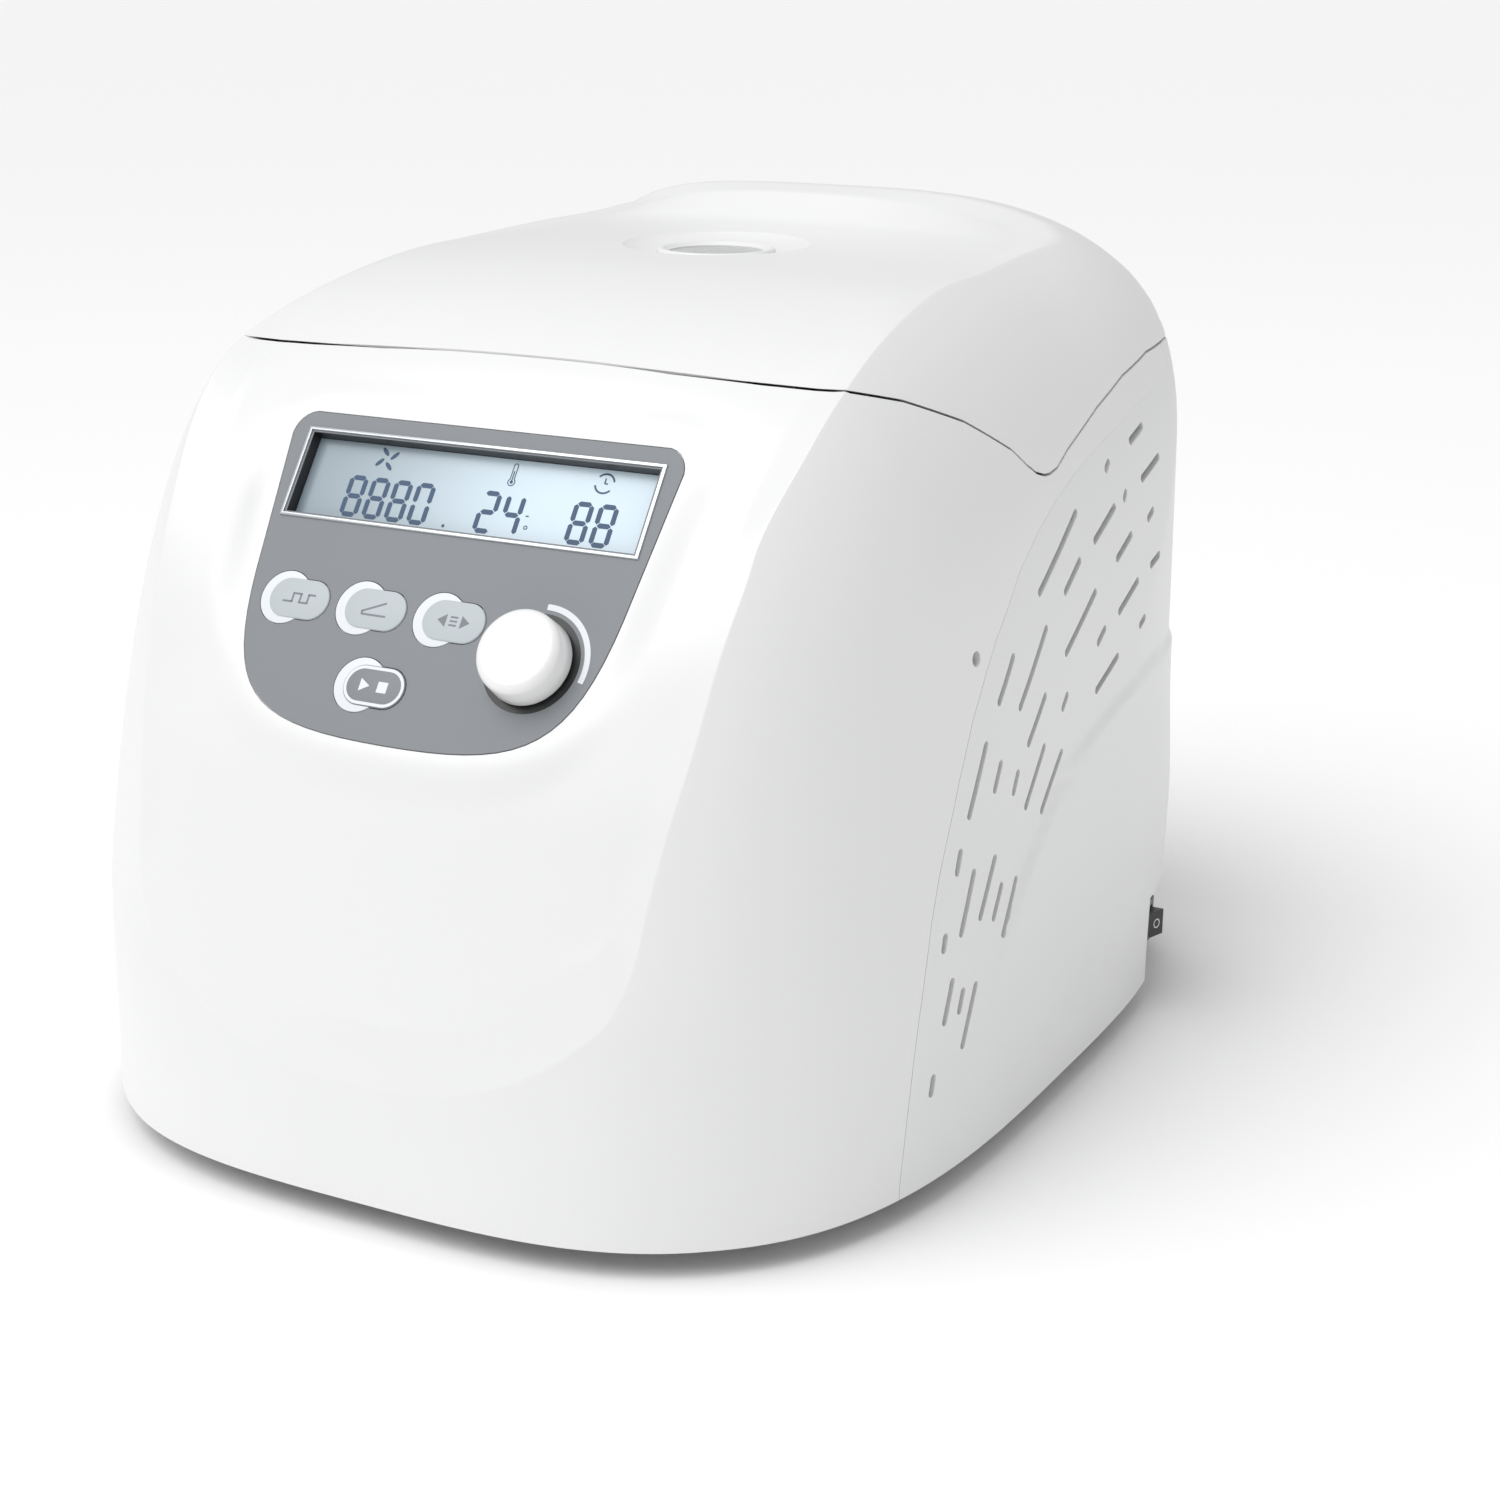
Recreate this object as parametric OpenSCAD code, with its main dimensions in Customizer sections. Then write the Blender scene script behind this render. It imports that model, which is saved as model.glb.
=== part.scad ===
// Benchtop microcentrifuge: front panel with dial, hinged lid, angle rotor on a brushless motor.
// X runs to the right, Y to the back, Z up. The origin is on the table under the middle.

/* [Housing] */
// Half width of the plan outline
half_w = 141.4; // [139:0.2:144]
// Half length of the plan outline
half_l = 182; // [180:0.5:184]
// Squareness of the plan outline, 2 is an ellipse
plan_power = 3.17; // [2.9:0.01:3.5]
// Height of the housing's lower edge above the table
skirt_z = 8; // [7:0.5:8.5]
// Wall thickness of the mouldings
wall = 3; // [2.6:0.1:3.2]
// Gap at the lid's parting line
lid_gap = 0.8; // [0.6:0.1:1.2]

/* [Panel] */
// Lean of the control panel back from upright, degrees
panel_lean = 35.9; // [34:0.1:37]
// Depth of the display's centre behind the middle of the machine
panel_y = -117; // [-118:0.5:-116]
// Height of the display's centre
panel_z = 198.6; // [197:0.1:200]
// Width of the display window
lcd_w = 115; // [110:1:116]
// Height of the display window
lcd_h = 25.4; // [24:0.2:26]
// Diameter of the control dial
dial_d = 26; // [24:0.5:28]
// Height of the control dial over the panel
dial_h = 10; // [9:0.5:11]
// Diameter of a button's round back
button_d = 16.2; // [15:0.1:16.4]
// Length of a button's pill
pill_l = 20; // [18:0.5:20]
// Height of a button's pill
pill_h = 12; // [11:0.5:12]

/* [Rotor] */
// Distance of the rotor's axis behind the middle of the machine
axis_y = 32; // [31:0.5:33]
// Inner radius of the rotor chamber
bowl_r = 86; // [85:0.5:87]
// Number of tube wells in the rotor
wells = 12; // [8:1:14]
// Radius of a tube well
well_r = 5.6; // [5.4:0.1:6]
// Angle of the wells to the rotor's axis, degrees
well_angle = 45; // [44:1:46]
// Length of a tube well
well_l = 32; // [28:1:33]

/* [Hidden] */
$fn = 48;

white = [0.95, 0.95, 0.95];
side_grey = [0.88, 0.89, 0.9];
panel_grey = [0.56, 0.58, 0.6];
steel = [0.72, 0.73, 0.75];
black = [0.06, 0.07, 0.09];
board_green = [0.1, 0.35, 0.2];

top_z = 266;
deck_z = 196;
deck_t = 3;
deck_narrow = 0.89;
ledge_w = 180;
plate_z = 9;
plate_t = 2;
bowl_z = 106;
bowl_wall = 1.5;
flange_r = bowl_r + 8;
liner_z = 203.5;
liner_t = 3;
seam_gap = 0.3;
shaft_r = 5;
running = 0.05;
hinge_y = 174.5;
hinge_z = 214;
hinge_xs = [-75, 75];
hinge_r = 3.6;
pin_r = 1.5;
lock_y = -68;
lock_z = 156;
window_y = 30;
lid_front_y = -86.5;
slab_t = 3;
overlay_t = 0.8;
slot_w = 2.6;
board_n = -16;
dial_place = [37.3, -47.5];
button_places = [[-47.5, -38.8], [-21.5, -38.8], [4.5, -39], [-13.6, -61]];
foot_places = [[-100, -118], [100, -118], [-116, 112], [116, 112]];
boss_places = [[-123.5, -114], [123.5, -114], [-60, -171], [60, -171]];
rear_boss_places = [[-133, -60], [133, -60], [-133, 60], [133, 60], [-40, 174], [15, 174]];
mount_places = [for (i = [0:3]) [58 * cos(45 + 90 * i), axis_y + 58 * sin(45 + 90 * i)]];
inlet_x = 65;
inlet_y = 173;
inlet_z = 42;
socket_z = 49;
drawer_z = 28;
switch_y = 113;
switch_z = 16.6;
switch_turn = -5;
switch_x = 124.6;
rocker_tilt = 9;
pivot_x = -2;

// Points of a cubic curve through a and d with handles b and c.
function curve(a, b, c, d, n = 9) = [
    for (i = [0:n]) let (t = i / n, u = 1 - t) u*u*u*a + 3*u*u*t*b + 3*u*t*t*c + t*t*t*d
];
function mirrored(points) = [for (i = [len(points) - 1:-1:0]) [-points[i][0], points[i][1]]];
function signed_power(v, p) = sign(v) * pow(abs(v), p);
function plan_points(inset, n = 72) = [
    for (i = [0:n - 1]) let (a = 360 * (i + 0.5) / n) [
        (half_w - inset) * signed_power(cos(a), 2 / plan_power),
        (half_l - inset) * signed_power(sin(a), 2 / plan_power)
    ]
];

// The arch seen from the side: front, top and rear wall, as (Y, Z).
side_points = concat(
    [[-190, -20]],
    curve([-187, 48], [-180, 122], [-134, 203], [-86, 232]),
    curve([-86, 232], [-56, 250], [-20, 254], [20, 254]),
    curve([20, 254], [55, 254], [80, top_z], [118, top_z]),
    curve([118, top_z], [150, top_z], [171, 244], [hinge_y, hinge_z]),
    [[185, 40], [185, -20]]
);
// Half of the body seen from the front, as (X, Z).
shoulder_points = concat([[146, -20], [146, 80]],
    curve([136.5, 215], [134, 247], [112, 264], [50, 268]));
// Floor of the broad recess that runs up the front and over the lid, as (Y, Z).
recess_points = concat(
    [[-260, 44]],
    curve([-181, 44], [-176, 124], [-131, 199], [-87.5, 228.5]),
    curve([-87.5, 228.5], [-57, 247], [-20, 251], [20, 251]),
    [[62, 251]],
    curve([66, 251.5], [82, 255], [92, 262], [104, 270]),
    [[104, 320], [-260, 320]]
);
// Lower edge of the lid at the sides, as (Y, Z), from the front to the back.
lid_line = concat(
    [[lid_front_y, 226.5], [-68, 226.5], [-45, 218], [-24, 207]],
    curve([-12, 198.5], [-6, 196.4], [0, 196.8], [14, 201], 4),
    [[45, 208.5], [74, 214], [105, 217], [137, 217], [200, 216]]
);
// Joint between the front and the rear housing, as (Y, Z), from the bottom to the lid.
seam_line = concat([[-107, -20], [-106, 13], [-104, 29], [-101.5, 48]],
    curve([-97, 73], [-88, 100], [-78, 135], [-35, 174], 6),
    [[-19, 182.4], [-4, 188], [-4, 240]]);

// One row of cooling slots: how far it leans, then each slot's Y, Z and length.
slot_rows = [
    [12, [[-92, 38, 7]]],
    [18, [[-85, 61, 14], [-78, 59, 8], [-87, 79, 6]]],
    [22, [[-73, 53, 20], [-78, 100, 8]]],
    [28, [[-74, 87, 20], [-67, 121, 23], [-55, 119, 10], [-43, 114, 8]]],
    [34, [[-62, 88, 20], [-56, 82, 12], [-48, 78, 19]]],
    [42, [[-49, 146, 17], [-29, 112, 22]]],
    [48, [[-30, 145, 30], [-28, 129, 19], [-6, 129, 7], [-16, 107, 23], [53, 180, 5]]],
    [63, [[-6, 174, 40], [3, 165, 17], [8, 150, 31], [25, 142, 9], [42, 191, 6]]],
    [71, [[33, 175, 23], [30, 129, 22], [48, 165, 17], [75, 170, 8], [50, 149, 21], [63, 138, 7]]],
    [79, [[72, 196, 16], [80, 184, 22], [77, 155, 11]]]
];

panel_side = curve([61, -25], [57.5, -70], [46, -77], [0, -77], 12);
panel_outline = concat([[64.6, 19]], panel_side,
    [for (i = [len(panel_side) - 2:-1:0]) [-panel_side[i][0], panel_side[i][1]]], [[-64.6, 19]]);

// Extrudes a (Y, Z) outline along X.
module along_x(width) {
    rotate([90, 0, 90]) linear_extrude(width, center = true) children();
}

// Extrudes an (X, Z) outline along Y.
module along_y(length) {
    rotate([90, 0, 0]) linear_extrude(length, center = true) children();
}

// Places children on the panel: X across, Y up the panel, Z out of it.
module on_panel(place = [0, 0], out = 0) {
    translate([0, panel_y, panel_z]) rotate([90 - panel_lean, 0, 0])
        translate([place[0], place[1], out]) children();
}

module on_axis(z) {
    translate([0, axis_y, z]) children();
}

module ring(outer, inner, height) {
    difference() {
        cylinder(r = outer, h = height);
        translate([0, 0, -1]) cylinder(r = inner, h = height + 2);
    }
}

module box(size, centre) {
    translate(centre) cube(size, center = true);
}

module plan_shape(inset) {
    polygon(plan_points(inset));
}

module u_outline(grow) {
    polygon([for (a = [180:12:360]) [(84 + grow) * cos(a), 105 + (60 + grow) * sin(a)]]);
    polygon([[-84 - grow, 104], [84 + grow, 104], [95 + grow, 190], [95 + grow, 300],
        [-95 - grow, 300], [-95 - grow, 190]]);
}

module recess_cut(grow) {
    intersection() {
        along_x(240) offset(delta = grow) polygon(recess_points);
        along_y(500) u_outline(grow);
    }
}

// The body's outer form, or its inner form when inset is the wall thickness.
module form(inset) {
    difference() {
        intersection() {
            translate([0, 0, inset > 0 ? -20 : skirt_z]) linear_extrude(300) plan_shape(inset);
            along_x(320) offset(delta = -inset) polygon(side_points);
            along_y(400) offset(delta = -inset)
                polygon(concat(shoulder_points, mirrored(shoulder_points)));
        }
        recess_cut(inset);
    }
}

module shell() {
    difference() {
        form(0);
        form(wall);
    }
}

module above_lid_line(shift) {
    along_x(320) polygon(concat([[lid_front_y - shift, 320]],
        [for (p = lid_line) p - [lid_front_y == p[0] ? shift : 0, shift]], [[200, 320]]));
}

module lid_shell() {
    color(white) difference() {
        intersection() {
            shell();
            above_lid_line(0);
        }
        translate([0, window_y, 200]) cylinder(r = 19, h = 80);
        for (x = hinge_xs) {
            box([48, 20, 8], [x, hinge_y, hinge_z + 0.5]);
        }
    }
}

module panel_shape(grow) {
    offset(delta = grow) polygon(panel_outline);
}

module button_shape(grow) {
    circle(r = button_d / 2 + grow);
    translate([pill_l / 2 - 5, 0]) {
        square([pill_l - pill_h, pill_h + 2 * grow], center = true);
        for (side = [-1, 1]) {
            translate([side * (pill_l - pill_h) / 2, 0]) circle(r = pill_h / 2 + grow);
        }
    }
}

// Everything that passes through the panel: display, buttons and the dial's bush.
module panel_holes(lcd_grow, button_grow) {
    on_panel([0, 0], -20) linear_extrude(40)
        square([lcd_w + lcd_grow, lcd_h + lcd_grow], center = true);
    for (place = button_places) {
        on_panel(place, -20) linear_extrude(40) button_shape(button_grow);
        on_panel(place, -20) linear_extrude(20 - slab_t) button_shape(button_grow + 1.4);
    }
    on_panel(dial_place, -20) cylinder(r = 3.7, h = 40);
}

module screw_boss(place) {
    translate([place[0], place[1], plate_z + plate_t + 0.2]) ring(5, 1.6, 22);
}

module front_housing() {
    color(white) difference() {
        union() {
            difference() {
                shell();
                on_panel() linear_extrude(60) panel_shape(6);
            }
            intersection() {
                form(0);
                difference() {
                    on_panel([0, 0], -slab_t) linear_extrude(40) panel_shape(9);
                    on_panel() linear_extrude(60) panel_shape(6);
                }
            }
            intersection() {
                form(1);
                for (place = boss_places) {
                    screw_boss(place);
                }
            }
        }
        above_lid_line(lid_gap);
        along_x(320) polygon(concat([for (p = seam_line) p], [[300, 240], [300, -20]]));
        panel_holes(2, 0.35);
        at_lock(120) cylinder(r = 2.1, h = 40);
    }
}

module slot_shape(length) {
    square([slot_w, length - slot_w], center = true);
    for (side = [-1, 1]) {
        translate([0, side * (length - slot_w) / 2]) circle(r = slot_w / 2);
    }
}

module vent_slots() {
    along_x(320) {
        for (row = slot_rows) {
            for (slot = row[1]) {
                translate([slot[0], slot[1]]) rotate(-row[0]) slot_shape(slot[2]);
            }
        }
    }
}

module at_switch() {
    translate([switch_x, switch_y, switch_z]) rotate([0, 0, -switch_turn]) children();
}

// The cut-away lower corner that holds the mains switch.
module switch_pocket(back) {
    at_switch() translate([-back, -29 - back, -40]) cube([40, 100, 61 + back]);
}

module inlet_pocket(back) {
    box([38 + 2 * back, 40, 56 + 2 * back], [inlet_x, inlet_y + 20 - back, inlet_z]);
}

module rear_housing() {
    color(side_grey) difference() {
        union() {
            shell();
            intersection() {
                form(0);
                union() {
                    switch_pocket(wall);
                    inlet_pocket(wall);
                }
            }
            intersection() {
                form(1);
                for (place = rear_boss_places) {
                    screw_boss(place);
                }
            }
        }
        above_lid_line(lid_gap);
        along_x(320) translate([seam_gap, 0])
            polygon(concat([[-300, -20]], seam_line, [[-300, 240]]));
        vent_slots();
        switch_pocket(0);
        inlet_pocket(0);
        at_switch() box([30, 19.4, 13], [0, 0, 0]);
        translate([foot_places[3][0], foot_places[3][1], 0]) cylinder(r = 11.3, h = plate_z + 0.3);
        box([27.6, 40, 46.6], [inlet_x, inlet_y - 10, inlet_z]);
        box([200, 20, 20], [0, hinge_y, hinge_z + 5.5]);
    }
}

module base_plate() {
    color(steel) difference() {
        translate([0, 0, plate_z]) linear_extrude(plate_t) plan_shape(wall + 0.3);
        switch_pocket(wall + 0.3);
        inlet_pocket(wall + 0.3);
        for (place = concat(boss_places, rear_boss_places)) {
            translate([place[0], place[1], 0]) cylinder(r = 1.7, h = 20);
        }
        for (place = foot_places) {
            translate([place[0], place[1], 0]) cylinder(r = 2.1, h = 20);
        }
    }
}

module feet() {
    color(panel_grey) for (place = foot_places) {
        translate([place[0], place[1], 0]) rotate_extrude()
            polygon([[2.2, 4], [5.5, 4], [5.5, 0], [10, 0], [11, 1], [10, plate_z], [2.2, plate_z]]);
    }
}

module foot_screws() {
    color(steel) for (place = foot_places) {
        translate([place[0], place[1], 1.6]) {
            cylinder(r = 4, h = 2.4);
            cylinder(r = 2, h = 9.5);
        }
    }
}

module housing_screws() {
    color(steel) for (place = concat(boss_places, rear_boss_places)) {
        translate([place[0], place[1], plate_z]) {
            translate([0, 0, -1.8]) cylinder(r = 2.9, h = 1.8);
            cylinder(r = 1.5, h = 16);
        }
    }
}

module chamber_deck() {
    color(white) difference() {
        intersection() {
            along_x(320) polygon([
                [-130, 219.5], [-85, 219.5], [-85, deck_z - deck_t], [180, deck_z - deck_t],
                [180, deck_z], [-82, deck_z], [-82, 222.5], [-130, 222.5]
            ]);
            form(wall);
            union() {
                linear_extrude(deck_z) scale([deck_narrow, 1]) plan_shape(2 * wall + 1);
                box([ledge_w, 400, 300], [0, 0, 150]);
            }
        }
        on_axis(150) cylinder(r = bowl_r + bowl_wall + 0.2, h = 100);
        box([8, 19.5, 40], [0, -71.75, deck_z]);
    }
}

module chamber_bowl() {
    color(steel) on_axis(0) rotate_extrude($fn = 96) polygon([
        [24, bowl_z], [bowl_r - 6, bowl_z], [bowl_r + bowl_wall, bowl_z + 8],
        [bowl_r + bowl_wall, deck_z], [flange_r, deck_z], [flange_r, deck_z + bowl_wall],
        [bowl_r, deck_z + bowl_wall], [bowl_r, bowl_z + 9], [bowl_r - 6.6, bowl_z + bowl_wall],
        [24, bowl_z + bowl_wall]
    ]);
}

module bowl_gasket() {
    color(black) on_axis(deck_z + bowl_wall)
        ring(flange_r - 1.5, flange_r - 5.5, liner_z - 0.3 - deck_z - bowl_wall);
}

module motor_plate() {
    color(steel) difference() {
        on_axis(26) translate([-52, -52, 0]) cube([104, 104, 3]);
        on_axis(20) cylinder(r = 15, h = 20);
        for (place = mount_places) {
            translate([place[0], place[1], 20]) cylinder(r = 2.6, h = 20);
        }
    }
}

module shock_mounts() {
    color(black) for (place = mount_places) {
        translate([place[0], place[1], plate_z + plate_t]) {
            cylinder(r = 8, h = 26 - plate_z - plate_t);
            cylinder(r = 2.5, h = 26 - plate_z - plate_t + 6);
        }
    }
}

module motor_housing() {
    color(steel) on_axis(0) rotate_extrude() polygon([
        [11, 29], [42, 29], [42, 93], [39, 93], [39, 33], [14, 33], [14, 40], [11, 40]
    ]);
}

module motor_stator() {
    color("sienna") on_axis(44) difference() {
        cylinder(r = 38.9, h = 38);
        translate([0, 0, -1]) cylinder(r = 22, h = 40);
        for (i = [0:8]) {
            rotate(40 * i) box([18, 4, 50], [27, 0, 20]);
        }
    }
}

module motor_cap() {
    color(steel) on_axis(0) rotate_extrude() polygon([
        [11, 93], [42, 93], [42, 97], [14, 97], [14, 103], [6, 103], [6, 101], [11, 101]
    ]);
}

module motor_bearings() {
    color(steel) for (z = [33, 94]) {
        on_axis(z) ring(10.98, shaft_r + running, 7);
    }
}

module motor_boot() {
    color(black) on_axis(0) rotate_extrude() polygon([
        [14.1, 98], [17, 98], [17, 103.5], [30, 103.5], [30, bowl_z - 0.1], [14.1, bowl_z - 0.1]
    ]);
}

module motor_shaft() {
    color(steel) on_axis(0) {
        translate([0, 0, 34]) cylinder(r = shaft_r, h = 120);
        translate([0, 0, 154]) cylinder(r1 = shaft_r, r2 = shaft_r - 1.5, h = 4);
    }
}

module motor_magnets() {
    color(panel_grey) on_axis(44) ring(21, shaft_r + 0.02, 38);
}

module rotor_hub() {
    color(steel) on_axis(0) rotate_extrude() polygon([
        [shaft_r + 0.02, 110], [14, 110], [14, 121.9], [9, 121.9], [9, 148], [shaft_r + 0.02, 148]
    ]);
}

module rotor_head() {
    color(steel) on_axis(0) difference() {
        rotate_extrude($fn = 96) polygon([
            [9.02, 122], [26, 122], [30, 128], [62, 128], [70, 133], [82, 146], [82, 154],
            [63, 173], [61, 173], [40, 152], [9.02, 152]
        ]);
        for (i = [0:wells - 1]) {
            rotate(360 * i / wells) translate([51, 0, 163]) rotate([0, 180 - well_angle, 0])
                translate([0, 0, -30]) cylinder(r = well_r, h = 30 + well_l);
        }
    }
}

module rotor_nut() {
    color(steel) on_axis(152.1) difference() {
        union() {
            cylinder(r = 13, h = 3);
            cylinder(r = 10, h = 14);
        }
        translate([0, 0, -1]) cylinder(r = shaft_r + 0.02, h = 8);
        for (i = [0:7]) {
            rotate(45 * i) translate([10.6, 0, 3.5]) cylinder(r = 1.4, h = 20);
        }
    }
}

module control_overlay() {
    color(panel_grey) difference() {
        on_panel() linear_extrude(overlay_t) panel_shape(0);
        panel_holes(1.4, 0.35);
    }
}

module lcd_frame() {
    color("silver") on_panel([0, 0], overlay_t) linear_extrude(0.7) difference() {
        square([lcd_w + 3.4, lcd_h + 3], center = true);
        square([lcd_w, lcd_h], center = true);
    }
}

module lcd_window() {
    color([0.8, 0.88, 0.94]) on_panel([0, 0], -0.3) linear_extrude(1.05)
        square([lcd_w + 1, lcd_h + 1], center = true);
}

module lcd_module() {
    color([0.7, 0.8, 0.88]) on_panel() {
        box([lcd_w + 1, lcd_h + 1, 3], [0, 0, -1.9]);
        box([lcd_w + 9, lcd_h + 9, 7], [0, 0, -6.8]);
    }
}

module control_board() {
    color(board_green) on_panel() difference() {
        box([126, 90, 1.6], [0, -28, board_n + 0.8]);
        for (x = [-58, 58], s = [-66, 10]) {
            translate([x, s, -30]) cylinder(r = 1.6, h = 30);
        }
    }
}

module tact_switches() {
    color(black) for (place = button_places) {
        on_panel(place, board_n + 1.6) {
            box([6, 6, 4], [0, 0, 2]);
            cylinder(r = 1.7, h = 5.3);
        }
    }
}

module encoder_body() {
    color("silver") on_panel(dial_place) difference() {
        union() {
            box([12, 12, 7], [0, 0, board_n + 5.1]);
            translate([0, 0, -8]) cylinder(r = 3.5, h = 9);
        }
        translate([0, 0, -13]) cylinder(r = 3, h = 20);
    }
}

module encoder_shaft() {
    color(steel) on_panel(dial_place, -12.6) cylinder(r = 3 - running, h = 20);
}

module dial_knob() {
    color(white) on_panel(dial_place, overlay_t + 0.6) rotate_extrude($fn = 96) polygon(concat(
        [[3, 7], [3, 0.2], [5, 0.2], [5, 6.6], [dial_d / 2 - 1.6, 6.6], [dial_d / 2 - 1.6, 0],
            [dial_d / 2, 0]],
        curve([dial_d / 2, dial_h - 3.5], [dial_d / 2, dial_h - 1.2], [dial_d / 2 - 2.4, dial_h - 0.6],
            [0, dial_h], 6),
        [[0, 7]]
    ));
}

module button(place) {
    on_panel(place) {
        translate([0, 0, -3.4]) linear_extrude(4.8) button_shape(0);
        translate([0, 0, -4.8]) linear_extrude(1.5) button_shape(1.2);
        translate([0, 0, -8]) cylinder(r = 2, h = 4);
    }
}

module pulse_button() {
    color(side_grey) button(button_places[0]);
}

module door_button() {
    color(side_grey) button(button_places[1]);
}

module select_button() {
    color(side_grey) button(button_places[2]);
}

module start_stop_button() {
    color(panel_grey) button(button_places[3]);
}

module at_lock(x) {
    translate([x, lock_y, lock_z]) rotate([0, 90, 0]) children();
}

module lock_frame() {
    color(steel) difference() {
        union() {
            box([72, 18, 2], [-21, lock_y, deck_z - deck_t - 1]);
            for (x = [-55.5, -12.5, 12]) {
                box([3, 18, 46], [x, lock_y, deck_z - deck_t - 2 - 22.9]);
            }
        }
        box([9, 24, 10], [0, lock_y - 6, deck_z - deck_t - 2]);
        at_lock(-60) cylinder(r = 4.3, h = 20);
        at_lock(-20) cylinder(r = 2.3 + running, h = 12);
        at_lock(5) cylinder(r = 2.3, h = 14);
    }
}

module lock_solenoid() {
    color("sienna") at_lock(-54) ring(9, 4 + running, 36);
}

module lock_bolt() {
    color(steel) {
        at_lock(-50) cylinder(r = 4, h = 28);
        at_lock(-23) cylinder(r = 2.3, h = 20);
    }
}

module release_tube() {
    color(white) at_lock(13.5) ring(4, 2.1, 115);
}

module drive_board() {
    color(board_green) box([60, 150, 1.6], [-94, 24, 24.8]);
}

module drive_capacitors() {
    color(black) {
        for (y = [-30, -4]) {
            translate([-82, y, 25.6]) cylinder(r = 11, h = 32);
        }
        box([28, 40, 22], [-98, 56, 36.6]);
    }
}

module heat_sink() {
    color("silver") {
        box([46, 4, 40], [-84, 116, 34]);
        for (i = [0:7]) {
            box([1.6, 18, 40], [-106.2 + 6.343 * i, 126.9, 34]);
        }
    }
}

module board_posts() {
    color("gold") for (x = [-120, -68], y = [-46, 94]) {
        translate([x, y, plate_z + plate_t]) cylinder(r = 3, h = 24 - plate_z - plate_t);
    }
}

module power_inlet() {
    color(black) difference() {
        union() {
            box([32, 2.5, 50], [inlet_x, inlet_y + 1.25, inlet_z]);
            box([27, 22, 46], [inlet_x, inlet_y - 10.9, inlet_z]);
        }
        box([24, 20, 17], [inlet_x, inlet_y - 5, socket_z]);
        box([23, 18, 9.6], [inlet_x, inlet_y - 5, drawer_z]);
    }
}

module inlet_pins() {
    color(steel) for (place = [[-7, -2], [7, -2], [0, 3]]) {
        box([2, 12, 4], [inlet_x + place[0], inlet_y - 9, socket_z + place[1]]);
    }
}

module fuse_drawer() {
    color(black) difference() {
        box([22.2, 15, 8.8], [inlet_x, inlet_y - 4.5, drawer_z]);
        for (y = [-8.4, -2.4]) {
            translate([inlet_x - 10.2, inlet_y + y, drawer_z + 1]) rotate([0, 90, 0])
                cylinder(r = 2.6, h = 20.4);
            box([20.4, 5.2, 6], [inlet_x, inlet_y + y, drawer_z + 4]);
        }
    }
}

module fuses() {
    color("silver") for (y = [-8.4, -2.4]) {
        translate([inlet_x - 10, inlet_y + y, drawer_z + 1]) rotate([0, 90, 0])
            cylinder(r = 2.5, h = 20);
    }
}

module switch_frame() {
    color(black) at_switch() difference() {
        union() {
            box([1.8, 21.5, 15], [0.9, 0, 0]);
            box([14, 19, 11.2], [-6.9, 0, 0.3]);
        }
        box([22, 17.4, 9.6], [0, 0, 0.3]);
        translate([pivot_x, 0, -5.1]) cylinder(r = 1 + running, h = 10.8);
    }
}

module power_rocker() {
    color(black) at_switch() translate([pivot_x, 0, 0]) rotate([0, 0, -rocker_tilt]) {
        translate([-pivot_x, 0, -4.2]) linear_extrude(9) polygon([
            [-6, -4.5], [0, -7.2], [5.4, -7.4], [3.6, 0], [5.4, 7.4], [0, 7.2], [-6, 4.5]
        ]);
        translate([0, 0, -4.9]) cylinder(r = 1, h = 10.4);
    }
}

module along_hinge(x, length) {
    translate([x - length / 2, hinge_y, hinge_z]) rotate([0, 90, 0]) cylinder(r = hinge_r, h = length);
}

module hinge_bore(radius) {
    translate([-120, hinge_y, hinge_z]) rotate([0, 90, 0]) cylinder(r = radius, h = 240);
}

module hinge_brackets() {
    color(steel) difference() {
        for (x = hinge_xs) {
            for (side = [-1, 1]) {
                along_hinge(x + 8 * side, 8);
                box([8, 16.5, 1.6], [x + 8 * side, 166.25, 211.8]);
            }
            box([24, 2, 16.6], [x, 159, deck_z + 8.3]);
            box([24, 14, 2], [x, 153, deck_z + 1]);
        }
        hinge_bore(pin_r + 0.02);
    }
}

module hinge_pins() {
    color(steel) for (x = hinge_xs) {
        translate([x - 13, hinge_y, hinge_z]) rotate([0, 90, 0]) cylinder(r = pin_r, h = 34);
    }
}

module hinge_springs() {
    color("silver") for (x = hinge_xs, i = [0:4]) {
        translate([x + 13.5 + 1.3 * i, hinge_y, hinge_z]) rotate([0, 90, 0])
            rotate_extrude() translate([2.6, 0]) circle(r = 0.55, $fn = 24);
    }
}

module hinge_arms() {
    color(steel) difference() {
        for (x = hinge_xs) {
            along_hinge(x, 7.4);
            box([7.4, 26.5, 1.6], [x, 161.25, 215]);
            box([7.4, 2, 9.3], [x, 149, 211.15]);
            box([20, 14, 2], [x, 143, liner_z + liner_t + 1]);
        }
        hinge_bore(pin_r + running);
    }
}

module lid_liner() {
    color(white) difference() {
        union() {
            translate([0, 0, liner_z]) linear_extrude(liner_t) intersection() {
                plan_shape(11);
                translate([-115, -72]) square([230, 224]);
            }
            intersection() {
                form(wall);
                for (x = [-70, 70], y = [-40, 60]) {
                    translate([x, y, liner_z + 1]) cylinder(r = 6, h = 60);
                }
            }
        }
        for (x = [-70, 70], y = [-40, 60]) {
            translate([x, y, liner_z - 1]) cylinder(r = 1.8, h = 30);
        }
        translate([0, window_y, 190]) cylinder(r = 17, h = 30);
    }
}

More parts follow.
